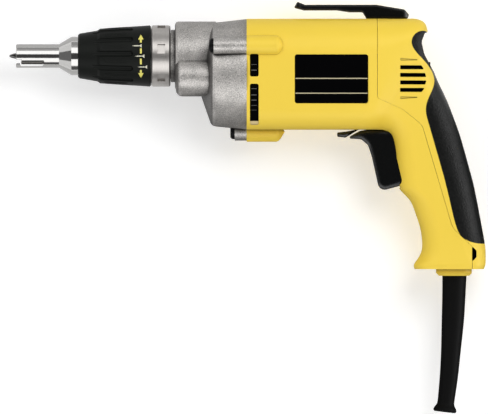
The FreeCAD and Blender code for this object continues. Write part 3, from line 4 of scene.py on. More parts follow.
import bpy
import numpy as np
from bpy.props import FloatProperty, FloatVectorProperty, PointerProperty
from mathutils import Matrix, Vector


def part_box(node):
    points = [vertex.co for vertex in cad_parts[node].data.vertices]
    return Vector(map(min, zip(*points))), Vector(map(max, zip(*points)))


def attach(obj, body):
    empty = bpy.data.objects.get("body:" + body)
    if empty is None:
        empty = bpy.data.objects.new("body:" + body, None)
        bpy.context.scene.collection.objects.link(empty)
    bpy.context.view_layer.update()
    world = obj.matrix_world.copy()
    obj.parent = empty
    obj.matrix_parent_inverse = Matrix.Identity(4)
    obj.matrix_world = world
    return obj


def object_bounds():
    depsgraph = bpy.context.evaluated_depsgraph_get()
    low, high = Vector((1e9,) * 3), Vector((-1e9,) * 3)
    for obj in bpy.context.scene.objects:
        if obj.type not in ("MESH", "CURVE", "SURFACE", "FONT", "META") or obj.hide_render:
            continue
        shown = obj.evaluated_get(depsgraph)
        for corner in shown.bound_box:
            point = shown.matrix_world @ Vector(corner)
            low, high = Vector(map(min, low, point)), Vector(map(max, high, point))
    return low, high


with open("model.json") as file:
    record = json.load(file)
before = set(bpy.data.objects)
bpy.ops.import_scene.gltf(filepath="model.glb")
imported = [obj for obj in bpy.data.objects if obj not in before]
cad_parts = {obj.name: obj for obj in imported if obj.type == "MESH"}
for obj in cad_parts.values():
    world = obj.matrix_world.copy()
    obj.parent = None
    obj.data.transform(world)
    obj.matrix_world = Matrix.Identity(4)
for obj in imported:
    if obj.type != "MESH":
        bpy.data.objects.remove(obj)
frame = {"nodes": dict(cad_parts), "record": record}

bl_info = {
    "name": "Drywall Screwdriver Finishes",
    "version": (1, 0, 0),
    "blender": (4, 5, 0),
    "location": "View3D > Sidebar > Screwdriver",
    "description": "Dresses the packed drywall screwdriver with its finishes, printed marks and photo stage",
    "category": "Object",
}

# Lengths are in millimetres and become metres where a mesh, a lamp or a pattern is made.
MM = 0.001
CAD_BOX = [list(corner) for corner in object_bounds()]


def box_mm(node):
    """Lowest and highest corner of a CAD node, in millimetres."""
    return np.array([list(corner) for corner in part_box(node)]) / MM


# The collar's long cone rises evenly from its step to the rim just in front of its rear end.
COLLAR_HIGH = box_mm("depth_collar")[1]
RIM_SETBACK, RIM_EASE = 0.8, 0.05
COLLAR_RIM_X = COLLAR_HIGH[0] - RIM_SETBACK
COLLAR_RIM_RADIUS = COLLAR_HIGH[2] - RIM_EASE
COLLAR_TAPER = 0.0656
PANEL_LOW, PANEL_HIGH = box_mm("name_panel")
HOUSING_FRONT = box_mm("motor_housing")[0][0]


def linear(code):
    """Turns an sRGB hex code into linear red, green and blue by the curve of the sRGB standard."""
    shares = np.array([int(code[n:n + 2], 16) for n in (1, 3, 5)]) / 255
    bent = np.where(shares <= 0.04045, shares / 12.92, ((shares + 0.055) / 1.055) ** 2.4)
    return [float(share) for share in bent]


def hex_colour(name, description, code):
    """A colour setting whose default is an sRGB hex code."""
    return FloatVectorProperty(name=name, description=description, subtype="COLOR", size=3, min=0.0, max=1.0,
                               default=linear(code))


def length_mm(name, description, default):
    """A length setting in millimetres."""
    return FloatProperty(name=name, description=description, default=default, min=0.0, precision=2)


def light_share(name, description, default):
    """A light's level, where one brings a white surface to white."""
    return FloatProperty(name=name, description=description, subtype="FACTOR", default=default,
                         min=0.0, max=2.0)


class FinishColours(bpy.types.PropertyGroup):
    """Colours of the tool's materials and prints."""

    housing: hex_colour("Housing", "Moulded yellow nylon of the housing and handle", "#F1D048")
    casting_pale: hex_colour("Casting, pale", "Bright grains of the blasted gear case", "#E2DEDA")
    casting_dark: hex_colour("Casting, dark", "Dark pits of the blasted gear case", "#7A7875")
    steel: hex_colour("Polished steel", "Plated steel of the nose", "#C4C3C1")
    ring: hex_colour("Ring", "Satin metal of the nosepiece ring", "#BEBAB6")
    collar: hex_colour("Collar", "Black acetal of the depth collar", "#141614")
    grip: hex_colour("Grip", "Black rubber of the grip", "#060706")
    trigger: hex_colour("Trigger", "Polished black of the trigger and lever", "#020303")
    hook: hex_colour("Belt hook", "Black nylon of the belt hook", "#070807")
    protector: hex_colour("Cord protector", "Black rubber of the cord protector", "#0B0B0B")
    # The vent screens' black is painted shade: a dark sheet behind the slots stands for the shade inside them
    screen: hex_colour("Vent screens", "Black sheet for the shade behind the air slots", "#050505")
    fin: hex_colour("Fins", "Grey nylon of the fan's guard", "#6B6A67")
    ledge: hex_colour("Ledge", "Pale nylon at the lower end of the fan slots", "#D8C28C")
    panel: hex_colour("Panel", "Black film of the bare side panel", "#030304")
    print_yellow: hex_colour("Yellow print", "Arrows and dashes on the collar", "#E6DC6C")
    print_pale: hex_colour("Pale print", "Screw signs on the collar", "#DAD7C2")
    panel_line: hex_colour("Panel line", "Thin lines across the panel", "#B9B08F")


class PrintSizes(bpy.types.PropertyGroup):
    """Sizes of the printed and raised marks."""

    print_height: length_mm("Print height", "How far a print stands off what it is on", 0.06)
    arrow_x: length_mm("Arrow place", "Distance of the arrows from the nose", 80.4)
    arrow_head: length_mm("Arrow head", "Width of an arrow's head", 3.5)
    arrow_stem: length_mm("Arrow stem", "Width of an arrow's stem and of the dashes", 1.2)
    sign_length: length_mm("Screw sign", "Length of a screw sign", 6.0)
    rib_width: length_mm("Rib width", "Width of a fine rib on the collar", 0.55)
    rib_height: length_mm("Rib height", "Height of a fine rib on the collar", 0.22)
    line_width: length_mm("Panel line", "Width of a line across the panel", 0.62)


class StageSettings(bpy.types.PropertyGroup):
    """Camera and light of the photo stage."""

    frame_width: length_mm("Frame width", "Width of the picture at the tool's mid plane", 313.8)
    centre_x: length_mm("Centre", "Distance of the picture's centre from the nose", 146.6)
    centre_drop: length_mm("Drop", "Distance of the picture's centre below the spindle", 97.1)
    camera_reach: length_mm("Camera distance", "Distance of the camera from the mid plane", 9000.0)
    key: light_share("Key light", "Share of the light from the large softbox", 0.36)
    back: light_share("Back light", "Share of the light on the far side", 0.6)
    sky: light_share("Upper light", "Share of the soft light from above", 0.62)
    ground: light_share("Lower light", "Share of the soft light from below", 0.74)


# Materials

WHITE = (1.0, 1.0, 1.0, 1.0)
PLASTIC_IOR = 1.5
# Size of the slow patches of colour on plastics
SLOW_PATCH = 24.0
# How far roughness swings about its mean: by a step on plastics, and by a share of it on metals
GLOSS_STEP, SHEEN_SHARE = 0.05, 0.25
# Strength of the relief on plastics and castings, and on machined metals
SKIN_RELIEF, LINE_RELIEF = 0.6, 0.5
# How open a crevice is where its painted shade is deepest and where it ends, and the share of colour left in
# it
CREVICE_OPEN, CREVICE_SHADE = (0.1, 0.9), 0.05
# Rays for each shaded crevice and lit edge
SOFT_SAMPLES = 8


def add(tree, kind, inputs=(), **settings):
    """Adds a node, sets its attributes, then links or fills its inputs by name or number."""
    node = tree.nodes.new(kind)
    for name, value in settings.items():
        setattr(node, name, value)
    for key, value in dict(inputs).items():
        if isinstance(value, bpy.types.NodeSocket):
            tree.links.new(value, node.inputs[key])
        else:
            node.inputs[key].default_value = value
    return node


def per_mm(size):
    """The texture scale whose features are about this many millimetres across."""
    return 1.0 / (size * MM)


def new_finish(name):
    """An empty material, its tree and the Object coordinates that its patterns read."""
    material = bpy.data.materials.new(name)
    material.use_nodes = True
    tree = material.node_tree
    tree.nodes.clear()
    return material, tree, add(tree, "ShaderNodeTexCoord").outputs["Object"]


def opaque(colour):
    """A colour with full opacity, as a socket takes it."""
    return (*colour, 1.0)


def shaded(colour, share):
    """A colour made darker or lighter by one factor."""
    return [min(1.0, channel * share) for channel in colour]


def moulded(name, colour, grain, depth, roughness, specular, swing=0.06, rounding=0.0, crevice=0.0):
    """A moulded skin: noise of the grain's size gives relief and gloss, and slow noise shifts the colour.

    Rounding is the radius over which edges catch the light as if they were rounded, and crevice the reach
    within which seams and grooves are darkened with painted shade.
    """
    material, tree, place = new_finish(name)
    fine = add(tree, "ShaderNodeTexNoise", {"Vector": place, "Scale": per_mm(grain), "Detail": 3.0})
    slow = add(tree, "ShaderNodeTexNoise", {"Vector": place, "Scale": per_mm(SLOW_PATCH), "Detail": 2.0})
    tint = add(tree, "ShaderNodeMix", {
        "Factor": slow.outputs["Fac"], "A": opaque(shaded(colour, 1.0 - swing)),
        "B": opaque(shaded(colour, 1.0 + swing))}, data_type="RGBA")
    if crevice:
        # Painted shade in seams and grooves, by how enclosed they are
        open_share = add(tree, "ShaderNodeAmbientOcclusion", {"Distance": crevice * MM}, samples=SOFT_SAMPLES)
        shade = add(tree, "ShaderNodeMapRange", {
            "Value": open_share.outputs["AO"], "From Min": CREVICE_OPEN[0], "From Max": CREVICE_OPEN[1],
            "To Min": CREVICE_SHADE})
        tint = add(tree, "ShaderNodeMix", {
            "Factor": 1.0, "A": tint.outputs["Result"], "B": shade.outputs["Result"]},
            data_type="RGBA", blend_type="MULTIPLY")
    gloss = add(tree, "ShaderNodeMapRange", {
        "Value": fine.outputs["Fac"], "To Min": roughness - GLOSS_STEP, "To Max": roughness + GLOSS_STEP})
    relief = add(tree, "ShaderNodeBump", {
        "Height": fine.outputs["Fac"], "Strength": SKIN_RELIEF, "Distance": depth * MM})
    if rounding:
        edge = add(tree, "ShaderNodeBevel", {"Radius": rounding * MM}, samples=SOFT_SAMPLES)
        tree.links.new(edge.outputs["Normal"], relief.inputs["Normal"])
    shader = add(tree, "ShaderNodeBsdfPrincipled", {
        "Base Color": tint.outputs["Result"], "Roughness": gloss.outputs["Result"], "IOR": PLASTIC_IOR,
        "Specular IOR Level": specular, "Normal": relief.outputs["Normal"]})
    add(tree, "ShaderNodeOutputMaterial", {"Surface": shader.outputs["BSDF"]})
    return material


def worked_metal(name, colour, stretch, depth, roughness, swing=0.08):
    """A machined metal: noise stretched by the tool's path gives its lines, their sheen and their relief."""
    material, tree, place = new_finish(name)
    path = add(tree, "ShaderNodeMapping", {"Vector": place, "Scale": [per_mm(size) for size in stretch]})
    lines = add(tree, "ShaderNodeTexNoise", {"Vector": path.outputs["Vector"], "Scale": 1.0, "Detail": 3.0})
    tint = add(tree, "ShaderNodeMix", {
        "Factor": lines.outputs["Fac"], "A": opaque(shaded(colour, 1.0 - swing)),
        "B": opaque(shaded(colour, 1.0 + swing))}, data_type="RGBA")
    gloss = add(tree, "ShaderNodeMapRange", {
        "Value": lines.outputs["Fac"], "To Min": roughness * (1.0 - SHEEN_SHARE),
        "To Max": roughness * (1.0 + SHEEN_SHARE)})
    relief = add(tree, "ShaderNodeBump", {
        "Height": lines.outputs["Fac"], "Strength": LINE_RELIEF, "Distance": depth * MM})
    shader = add(tree, "ShaderNodeBsdfPrincipled", {
        "Base Color": tint.outputs["Result"], "Metallic": 1.0, "Roughness": gloss.outputs["Result"],
        "Normal": relief.outputs["Normal"]})
    add(tree, "ShaderNodeOutputMaterial", {"Surface": shader.outputs["BSDF"]})
    return material


def yellow_nylon(colours):
    """Glass-filled nylon from a spark-eroded mould: an even, slightly broken sheen.

    The real texture is about 0.2 mm, and is drawn at 0.6 mm so that it shows.
    """
    return moulded("Glass-filled nylon, spark-textured moulding", colours.housing, grain=0.6, depth=0.05,
                   roughness=0.42, specular=0.2, swing=0.015, crevice=3.0)


# Sizes of the casting's grit and of the clouds in it, the depth of the grit and the share of the clouds
GRIT, CLOUD, GRIT_DEPTH, CLOUD_SHARE = 0.6, 9.0, 0.16, 0.2
# Values of the noise that give the darkest and the palest grains
GRAIN_SPAN = (0.3, 0.7)
# Painted shade in inner corners: its reach, how open a corner is where the shade is deepest and where it
# ends, and the colour left
CORNER_REACH, CORNER_OPEN, CORNER_SHADE = 24.0, (0.5, 0.88), 0.1
# Painted shade on forward faces: the normal's x where it is deepest and where it ends, and the colour left on
# them
FORWARD, FORWARD_SHADE = (-0.7, -0.3), 0.32


def blasted_casting(colours):
    """Die-cast aluminium, grit blasted: a dull grey of bright and dark grains under a millimetre across.

    Inner corners and the faces that look forward carry painted shade: their colour is darkened by how
    enclosed they are and by how far they face the nose.
    """
    material, tree, place = new_finish("Aluminium, die cast and grit blasted")
    grit = add(tree, "ShaderNodeTexNoise", {
        "Vector": place, "Scale": per_mm(GRIT), "Detail": 2.0, "Roughness": 0.65})
    cloud = add(tree, "ShaderNodeTexNoise", {"Vector": place, "Scale": per_mm(CLOUD), "Detail": 2.0})
    mixed = add(tree, "ShaderNodeMix", {
        "Factor": CLOUD_SHARE, "A": grit.outputs["Fac"], "B": cloud.outputs["Fac"]})
    grey = add(tree, "ShaderNodeMapRange", {
        "Value": mixed.outputs["Result"], "From Min": GRAIN_SPAN[0], "From Max": GRAIN_SPAN[1]})
    tint = add(tree, "ShaderNodeMix", {
        "Factor": grey.outputs["Result"], "A": opaque(colours.casting_dark),
        "B": opaque(colours.casting_pale)}, data_type="RGBA")
    # Painted shade: inner corners darken by how enclosed they are, forward faces by how far they face the
    # nose
    open_share = add(tree, "ShaderNodeAmbientOcclusion", {"Distance": CORNER_REACH * MM}, only_local=True,
                     samples=SOFT_SAMPLES)
    corner = add(tree, "ShaderNodeMapRange", {
        "Value": open_share.outputs["AO"], "From Min": CORNER_OPEN[0], "From Max": CORNER_OPEN[1],
        "To Min": CORNER_SHADE})
    facing = add(tree, "ShaderNodeSeparateXYZ", {"Vector": add(tree, "ShaderNodeTexCoord").outputs["Normal"]})
    front = add(tree, "ShaderNodeMapRange", {
        "Value": facing.outputs["X"], "From Min": FORWARD[0], "From Max": FORWARD[1],
        "To Min": FORWARD_SHADE})
    shade = add(tree, "ShaderNodeMath", {0: corner.outputs["Result"], 1: front.outputs["Result"]},
                operation="MULTIPLY")
    # The grains' colour under that painted shade
    skin = add(tree, "ShaderNodeMix", {
        "Factor": 1.0, "A": tint.outputs["Result"], "B": shade.outputs["Value"]},
        data_type="RGBA", blend_type="MULTIPLY")
    relief = add(tree, "ShaderNodeBump", {
        "Height": grit.outputs["Fac"], "Strength": SKIN_RELIEF, "Distance": GRIT_DEPTH * MM})
    shader = add(tree, "ShaderNodeBsdfPrincipled", {
        "Base Color": skin.outputs["Result"], "Metallic": 0.8, "Roughness": 0.42,
        "Normal": relief.outputs["Normal"]})
    add(tree, "ShaderNodeOutputMaterial", {"Surface": shader.outputs["BSDF"]})
    return material


def polished_steel(colours):
    """Steel, turned, polished and plated: clear streaks of the studio with faint rings from the turning."""
    return worked_metal("Steel, turned, polished and plated", colours.steel, stretch=(0.5, 14.0, 14.0),
                        depth=0.004, roughness=0.1, swing=0.04)


def satin_ring(colours):
    """Zinc-plated steel, turned: a satin band whose fine rings run round the axis."""
    return worked_metal("Zinc-plated steel, turned", colours.ring, stretch=(0.7, 2.2, 2.2), depth=0.05,
                        roughness=0.34, swing=0.14)


def collar_acetal(colours):
    """Acetal, moulded and lightly textured: a soft even black."""
    return moulded("Acetal, textured moulding", colours.collar, grain=0.7, depth=0.05, roughness=0.44,
                   specular=0.1)


# Sizes of the grip's pebbles and of the noise on them, and the share of the noise in their height
PEBBLE, PEBBLE_NOISE, NOISE_SHARE = 0.95, 0.4, 0.35
# Depth and strength of their relief, and the painted highlight on their crowns and painted shade in the gaps
# between them, as factors on the grip's colour
PEBBLE_DEPTH, PEBBLE_RELIEF = 0.3, 0.9
PAINTED_CROWN_LIGHT, PAINTED_GAP_SHADE = 1.3, 0.6


def grip_rubber(colours):
    """Thermoplastic rubber moulded over the handle: pebbled grain that catches light at its crowns.

    Cells of just under a millimetre give the pebbles, with finer noise on them; their crowns carry a painted
    highlight and the gaps between them painted shade.
    """
    material, tree, place = new_finish("Thermoplastic rubber, pebble-grained overmoulding")
    cells = add(tree, "ShaderNodeTexVoronoi", {"Vector": place, "Scale": per_mm(PEBBLE)})
    fine = add(tree, "ShaderNodeTexNoise", {"Vector": place, "Scale": per_mm(PEBBLE_NOISE), "Detail": 2.0})
    height = add(tree, "ShaderNodeMix", {
        "Factor": NOISE_SHARE, "A": cells.outputs["Distance"], "B": fine.outputs["Fac"]})
    # Painted highlight on the crowns and painted shade in the gaps
    tint = add(tree, "ShaderNodeMix", {
        "Factor": cells.outputs["Distance"], "A": opaque(shaded(colours.grip, PAINTED_CROWN_LIGHT)),
        "B": opaque(shaded(colours.grip, PAINTED_GAP_SHADE))}, data_type="RGBA")
    relief = add(tree, "ShaderNodeBump", {
        "Height": height.outputs["Result"], "Strength": PEBBLE_RELIEF, "Distance": PEBBLE_DEPTH * MM},
        invert=True)
    shader = add(tree, "ShaderNodeBsdfPrincipled", {
        "Base Color": tint.outputs["Result"], "Roughness": 0.32, "IOR": PLASTIC_IOR,
        "Specular IOR Level": 0.16, "Normal": relief.outputs["Normal"]})
    add(tree, "ShaderNodeOutputMaterial", {"Surface": shader.outputs["BSDF"]})
    return material


def gloss_nylon(colours):
    """Nylon from a polished mould: a deep black with soft lights on its edges."""
    return moulded("Nylon, polished moulding", colours.trigger, grain=2.5, depth=0.03, roughness=0.13,
                   specular=0.7, rounding=4.0)


def hook_nylon(colours):
    """Nylon, moulded and textured: a satin black, paler along its edges."""
    return moulded("Nylon, textured moulding", colours.hook, grain=0.8, depth=0.05, roughness=0.18,
                   specular=0.36, rounding=2.2)


def protector_rubber(colours):
    """Vulcanised rubber, moulded: a dull black with a soft line of light."""
    return moulded("Rubber, moulded", colours.protector, grain=1.1, depth=0.05, roughness=0.48, specular=0.05)


def slot_shade_sheet(colours):
    """A dead black sheet behind the air slots: painted shade that stands for the dark inside them."""
    return moulded("Black sheet, painted shade in the slots", colours.screen, grain=0.5, depth=0.05, roughness=0.9, specular=0.02)


def guard_nylon(name, colour):
    """Nylon, moulded plain: thin grey lines and a pale ledge in the fan slots."""
    return moulded(name, colour, grain=0.8, depth=0.03, roughness=0.45, specular=0.3)


def panel_film(colours):
    """Printed polycarbonate film: a flat glossy black."""
    return moulded("Polycarbonate film, printed", colours.panel, grain=3.0, depth=0.01, roughness=0.16,
                   specular=0.12)


def pad_print(name, colour):
    """Ink laid on by a pad: a matt film, a little thin in places."""
    return moulded(name, colour, grain=0.5, depth=0.02, roughness=0.55, specular=0.3, swing=0.08)


# Inner metals by slot: name, colour, size of the worked lines along each axis, their depth, and roughness
INNER_METALS = {
    # A grey sheen with fine rings
    "tool_steel": ("Tool steel, hardened and ground", "#6E6D6C", (0.4, 3.0, 3.0), 0.01, 0.3),
    # A soft black
    "black_steel": ("Steel, black oxide", "#1D1D1E", (0.8, 0.8, 0.8), 0.03, 0.42),
    # Thin grey layers along the axis
    "lamination_steel": ("Silicon steel, stamped stack", "#5B5A5C", (0.5, 60.0, 60.0), 0.12, 0.45),
    # A warm red-brown with the grain of the wires
    "copper_wire": ("Copper, enamelled winding", "#B5693A", (0.6, 0.6, 0.6), 0.1, 0.34),
    # A dull yellow-brown with open pores
    "bearing_bronze": ("Bronze, sintered", "#A98447", (0.5, 0.5, 0.5), 0.05, 0.45),
}
# Other inner materials by slot: name, colour, size and depth of the grain, roughness and specular level
INNER_SKINS = {
    # A milky grey
    "grey_nylon": ("Nylon, natural moulding", "#8C8B86", 0.8, 0.03, 0.45, 0.4),
    # A matt dark grey
    "carbon": ("Carbon, pressed", "#232325", 0.4, 0.05, 0.6, 0.3),
    # A pale brown with no sheen
    "felt": ("Wool felt, pressed", "#A39A88", 0.35, 0.2, 0.95, 0.1),
}


def inner_finishes():
    """Finishes of the inner pieces, each by its slot in the record."""
    finishes = {slot: worked_metal(name, linear(code), *lines)
                for slot, (name, code, *lines) in INNER_METALS.items()}
    finishes.update({slot: moulded(name, linear(code), *grain)
                     for slot, (name, code, *grain) in INNER_SKINS.items()})
    return finishes


def dress(finish, *nodes):
    """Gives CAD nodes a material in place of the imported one."""
    for name in nodes:
        materials = frame["nodes"][name].data.materials
        materials.clear()
        materials.append(finish)


# Surfaces of the added pieces


def slab(outer, inner):
    """Closes two grids of points into one skin: the outer face, the inner face and the rim between them.

    Rows and columns of the two grids match, so each rim edge joins a point to the one below it.
    """
    rows, columns = outer.shape[:2]
    top = np.arange(rows * columns).reshape(rows, columns)
    low = top + rows * columns
    quads = [np.stack([grid[:-1, :-1], grid[1:, :-1], grid[1:, 1:], grid[:-1, 1:]], -1).reshape(-1, 4)
             for grid in (top, low[:, ::-1])]
    rim = np.concatenate([top[0, :-1], top[:-1, -1], top[-1, :0:-1], top[:0:-1, 0]])
    ahead = np.roll(rim, -1)
    sides = np.stack([rim, ahead, ahead + rows * columns, rim + rows * columns], -1)
    points = np.concatenate([outer.reshape(-1, 3), inner.reshape(-1, 3)])
    return points, np.concatenate(quads + [sides])


def outward(points, faces):
    """Turns the faces round if the volume that they close comes out negative."""
    a, b, c, d = (points[faces[:, n]] for n in range(4))
    volume = np.sum(a * np.cross(b, c)) + np.sum(a * np.cross(c, d))
    return faces if volume > 0 else faces[:, ::-1]


def piece(name, skins, finish, body):
    """Joins closed skins into one mesh object that rides on a body."""
    points, faces, count = [], [], 0
    for skin_points, skin_faces in skins:
        points.append(skin_points)
        faces.append(outward(skin_points, skin_faces) + count)
        count += len(skin_points)
    mesh = bpy.data.meshes.new(name)
    mesh.from_pydata((np.concatenate(points) * MM).tolist(), [], np.concatenate(faces).tolist())
    mesh.validate()
    mesh.materials.append(finish)
    made = bpy.data.objects.new(name, mesh)
    bpy.context.scene.collection.objects.link(made)
    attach(made, body)


def collar_radius(x):
    """The collar's radius falls evenly from its rim with the distance in front of it."""
    return COLLAR_RIM_RADIUS - COLLAR_TAPER * (COLLAR_RIM_X - x)


def on_collar(x, arc, lift):
    """Points on the collar's cone: x along the spindle, arc round it from the left, and lift off its skin."""
    radius = collar_radius(x) + lift
    turn = arc / collar_radius(x)
    return np.stack([x, -radius * np.cos(turn), radius * np.sin(turn)], -1)


# Points along a mark and across it
MARK_ROWS, MARK_COLUMNS = 24, 5


def widths(profile):
    """A mark's outline as places along it and half widths there, with even steps between its corners."""
    corners, halves = np.array(profile, float).T
    along = np.union1d(np.linspace(corners[0], corners[-1], MARK_ROWS), corners)
    return along, np.interp(along, corners, halves)


def upright_mark(profile, x, proud):
    """A mark that runs round the collar: each point is a place on the arc and a share of the width there."""
    along, halves = widths(profile)
    share = np.linspace(-1.0, 1.0, MARK_COLUMNS)
    across = x + halves[:, None] * share
    arc = along[:, None] + 0.0 * share
    return slab(on_collar(across, arc, proud), on_collar(across, arc, -proud))


def lying_mark(profile, x, arc, proud):
    """A mark that runs along the collar: each point is a place along it and a share of the width there."""
    along, halves = widths(profile)
    share = np.linspace(-1.0, 1.0, MARK_COLUMNS)
    across = arc + halves[:, None] * share
    place = x + along[:, None] + 0.0 * share
    return slab(on_collar(place, across, proud), on_collar(place, across, -proud))


# Places of the marks round the collar, in millimetres of arc from its left side
ARROW_TIPS = (14.9, -15.7)
DASHES = ((1.4, 4.7), (-5.6, -1.9))
SIGN_ARCS = (6.5, -0.3, -7.4)
# Distances of the signs' heads from the nose
SIGN_HEADS = (80.9, 82.7, 84.4)
ARROW_HEAD_LENGTH = 3.9
ARROW_STEM_LENGTH = 2.3
# Length over which an arrow's stem widens to its head, and half width of a printed point
EDGE = 0.02
POINT_HALF = 0.04


def arrow(tip, sizes):
    """An arrow's half widths from the end of its stem to its tip."""
    way = math.copysign(1.0, tip)
    base = tip - way * ARROW_HEAD_LENGTH
    tail = base - way * ARROW_STEM_LENGTH
    profile = [(tail, sizes.arrow_stem / 2), (base - way * EDGE, sizes.arrow_stem / 2),
               (base, sizes.arrow_head / 2), (tip, POINT_HALF)]
    return profile if way > 0 else profile[::-1]


# A screw sign's thread and head, as shares of its length and half widths there
THREAD_START, THREAD_STEP, THREAD_TURNS = 0.2, 0.08, 7
THREAD_ROOT, THREAD_HEIGHT = 0.22, 0.26
SCREW_HEAD = ((0.74, 0.25), (0.84, 0.42), (0.93, 1.05), (1.0, 1.15))


def screw_sign(length):
    """A screw's half widths from its point to its bugle head, with three thread crests on the shank."""
    thread = [(length * (THREAD_START + THREAD_STEP * n), THREAD_ROOT + THREAD_HEIGHT * (n % 2))
              for n in range(THREAD_TURNS)]
    head = [(length * share, half) for share, half in SCREW_HEAD]
    return [(0.0, POINT_HALF)] + thread + head


# Fine ribs stand side by side on each land between the collar's grooves.
GROOVES = 12
LAND_TURN = math.radians(19.0)
RIBS_PER_LAND = 3
RIB_SPACING = 1.25
RIB_START, RIB_END = 56.0, 72.5
RIB_ROWS, RIB_COLUMNS = 14, 7
# Power by which a rib fades at its ends, and how deep it is rooted in the collar
RIB_FADE = 6
RIB_ROOT = 0.15


def collar_rib(arc_turn, sizes):
    """A fine rib: half an ellipse across, carried along the cone and drawn down to nothing at its ends."""
    x = np.linspace(RIB_START, RIB_END, RIB_ROWS)[:, None]
    swell = np.sqrt(np.clip(1.0 - np.linspace(-1.0, 1.0, RIB_ROWS) ** RIB_FADE, 0.0, 1.0))[:, None]
    sweep = np.linspace(0.0, math.pi, RIB_COLUMNS)
    arc = arc_turn * collar_radius(x) - sizes.rib_width / 2 * np.cos(sweep)
    lift = sizes.rib_height * swell * np.sin(sweep)
    place = x + 0.0 * arc
    return slab(on_collar(place, arc, lift), on_collar(place, arc, -RIB_ROOT + 0.0 * arc))


# Distances of the two lines below the panel's top
PANEL_LINE_DROPS = (15.2, 24.7)
# A line's inset from the panel's ends, the share of its height in its crown, and how far it sinks in
LINE_INSET, LINE_CROWN, LINE_SINK = 0.25, 0.4, 0.05
LINE_ROWS, LINE_COLUMNS = 9, 5


def panel_line(drop, sizes):
    """A printed line: a flat band along the panel with a low crown across it."""
    x = np.linspace(PANEL_LOW[0] + LINE_INSET, PANEL_HIGH[0] - LINE_INSET, LINE_ROWS)[:, None]
    across = np.linspace(-1.0, 1.0, LINE_COLUMNS)
    z = PANEL_HIGH[2] - drop + sizes.line_width / 2 * across + 0.0 * x
    proud = sizes.print_height * (1.0 - LINE_CROWN + LINE_CROWN * (1.0 - across ** 2)) + 0.0 * x
    place, face = x + 0.0 * z, PANEL_LOW[1] + 0.0 * z
    return slab(np.stack([place, face - proud, z], -1), np.stack([place, face + LINE_SINK, z], -1))


# What lies behind the slots: at the front it follows the skin of the barrel, elsewhere it stands flat inside.
SIDES = (-1.0, 1.0)
BARREL_HALF_WIDTH = 34.0
BARREL_BOTTOM = -47.3
BARREL_CORNER = 13.0
SCREEN_THICKNESS = 0.5
BENT_ROWS, BENT_COLUMNS, FLAT_STEPS = 4, 40, 5


def side_patch(side, place, outer, height):
    """A thin patch on one side: its outer face, and its inner face one thickness nearer the mid plane."""
    inner = outer - side * SCREEN_THICKNESS
    return slab(np.stack([place, outer, height], -1), np.stack([place, inner, height], -1))


def front_screen(side, x, z, depth):
    """A patch under the barrel's skin on one side: flat above, and bent in where the lower corner turns.

    It lies between two distances from the housing's front and two heights, at a depth below the skin.
    """
    along, up = HOUSING_FRONT + np.linspace(*x, BENT_ROWS)[:, None], np.linspace(*z, BENT_COLUMNS)
    into = np.clip(BARREL_BOTTOM + BARREL_CORNER - up, 0.0, None)
    skin = BARREL_HALF_WIDTH - BARREL_CORNER + np.sqrt(BARREL_CORNER ** 2 - into ** 2)
    return side_patch(side, along + 0.0 * up, side * (skin - depth + 0.0 * along), up + 0.0 * along)


def flat_screen(side, x, z, depth):
    """An upright patch on one side, between two places along the tool and two heights."""
    along, up = np.linspace(*x, FLAT_STEPS)[:, None], np.linspace(*z, FLAT_STEPS)
    return side_patch(side, along + 0.0 * up, side * depth + 0.0 * (along + up), up + 0.0 * along)


# Places from the housing's front, heights and depth under the skin of what shows in the front slots
FRONT_SCREEN = ((1.4, 8.4), (BARREL_BOTTOM + 1.8, 2.5), 1.7)
FRONT_LEDGE = ((2.0, 7.6), (-45.4, -42.0), 0.6)
FIN_X = (3.0, 6.4)
FIN_DEPTH = 1.1
# Heights and half thickness of the fins of the fan's guard
FINS = ((-5.8, 0.1), (-9.4, 0.22), (-21.3, 0.14), (-25.3, 0.22), (-28.6, 0.2), (-32.0, 0.11), (-35.0, 0.08))
# Places along the tool, heights and distance from the mid plane of the flat screens on each side
FLAT_SCREENS = {
    "rear_slots": ((245.2, 266.2), (-25.5, -4.0), 15.5),
    "foot_slot": ((290.0, 298.6), (-134.5, -120.0), 11.5),
}


# Operators


class SCREWDRIVER_OT_housing(bpy.types.Operator):
    """Set the dark screens that stand as painted shade behind the slots, and the fins of the fan's guard"""

    bl_idname = "screwdriver.housing"
    bl_label = "Housing"

    def execute(self, context):
        dress(yellow_nylon(context.scene.screwdriver_colours), "motor_housing", "handle_cover")
        return {"FINISHED"}


class SCREWDRIVER_OT_vent_screens(bpy.types.Operator):
    """Set the dark screens behind the slots and the fins of the fan's guard"""

    bl_idname = "screwdriver.vent_screens"
    bl_label = "Vent Screens"

    def execute(self, context):
        colours = context.scene.screwdriver_colours
        # Black sheets behind the slots: painted shade for the dark inside them
        screens = [front_screen(side, *FRONT_SCREEN) for side in SIDES]
        screens += [flat_screen(side, *place) for place in FLAT_SCREENS.values() for side in SIDES]
        piece("vent_screens", screens, slot_shade_sheet(colours), "tool")
        fins = [front_screen(side, FIN_X, (height - half, height + half), FIN_DEPTH)
                for height, half in FINS for side in SIDES]
        piece("vent_fins", fins, guard_nylon("Nylon, grey moulding", colours.fin), "tool")
        ledges = [front_screen(side, *FRONT_LEDGE) for side in SIDES]
        pale = guard_nylon("Nylon, natural moulding of the guard", colours.ledge)
        piece("vent_ledges", ledges, pale, "tool")
        return {"FINISHED"}


class SCREWDRIVER_OT_grip(bpy.types.Operator):
    """Finish the rubber grip over the back of the handle"""

    bl_idname = "screwdriver.grip"
    bl_label = "Grip"

    def execute(self, context):
        dress(grip_rubber(context.scene.screwdriver_colours), "rubber_grip")
        return {"FINISHED"}


class SCREWDRIVER_OT_gear_case(bpy.types.Operator):
    """Finish the cast gear case and its inner plate"""

    bl_idname = "screwdriver.gear_case"
    bl_label = "Gear Case"

    def execute(self, context):
        dress(blasted_casting(context.scene.screwdriver_colours), "gear_case", "gear_plate")
        return {"FINISHED"}


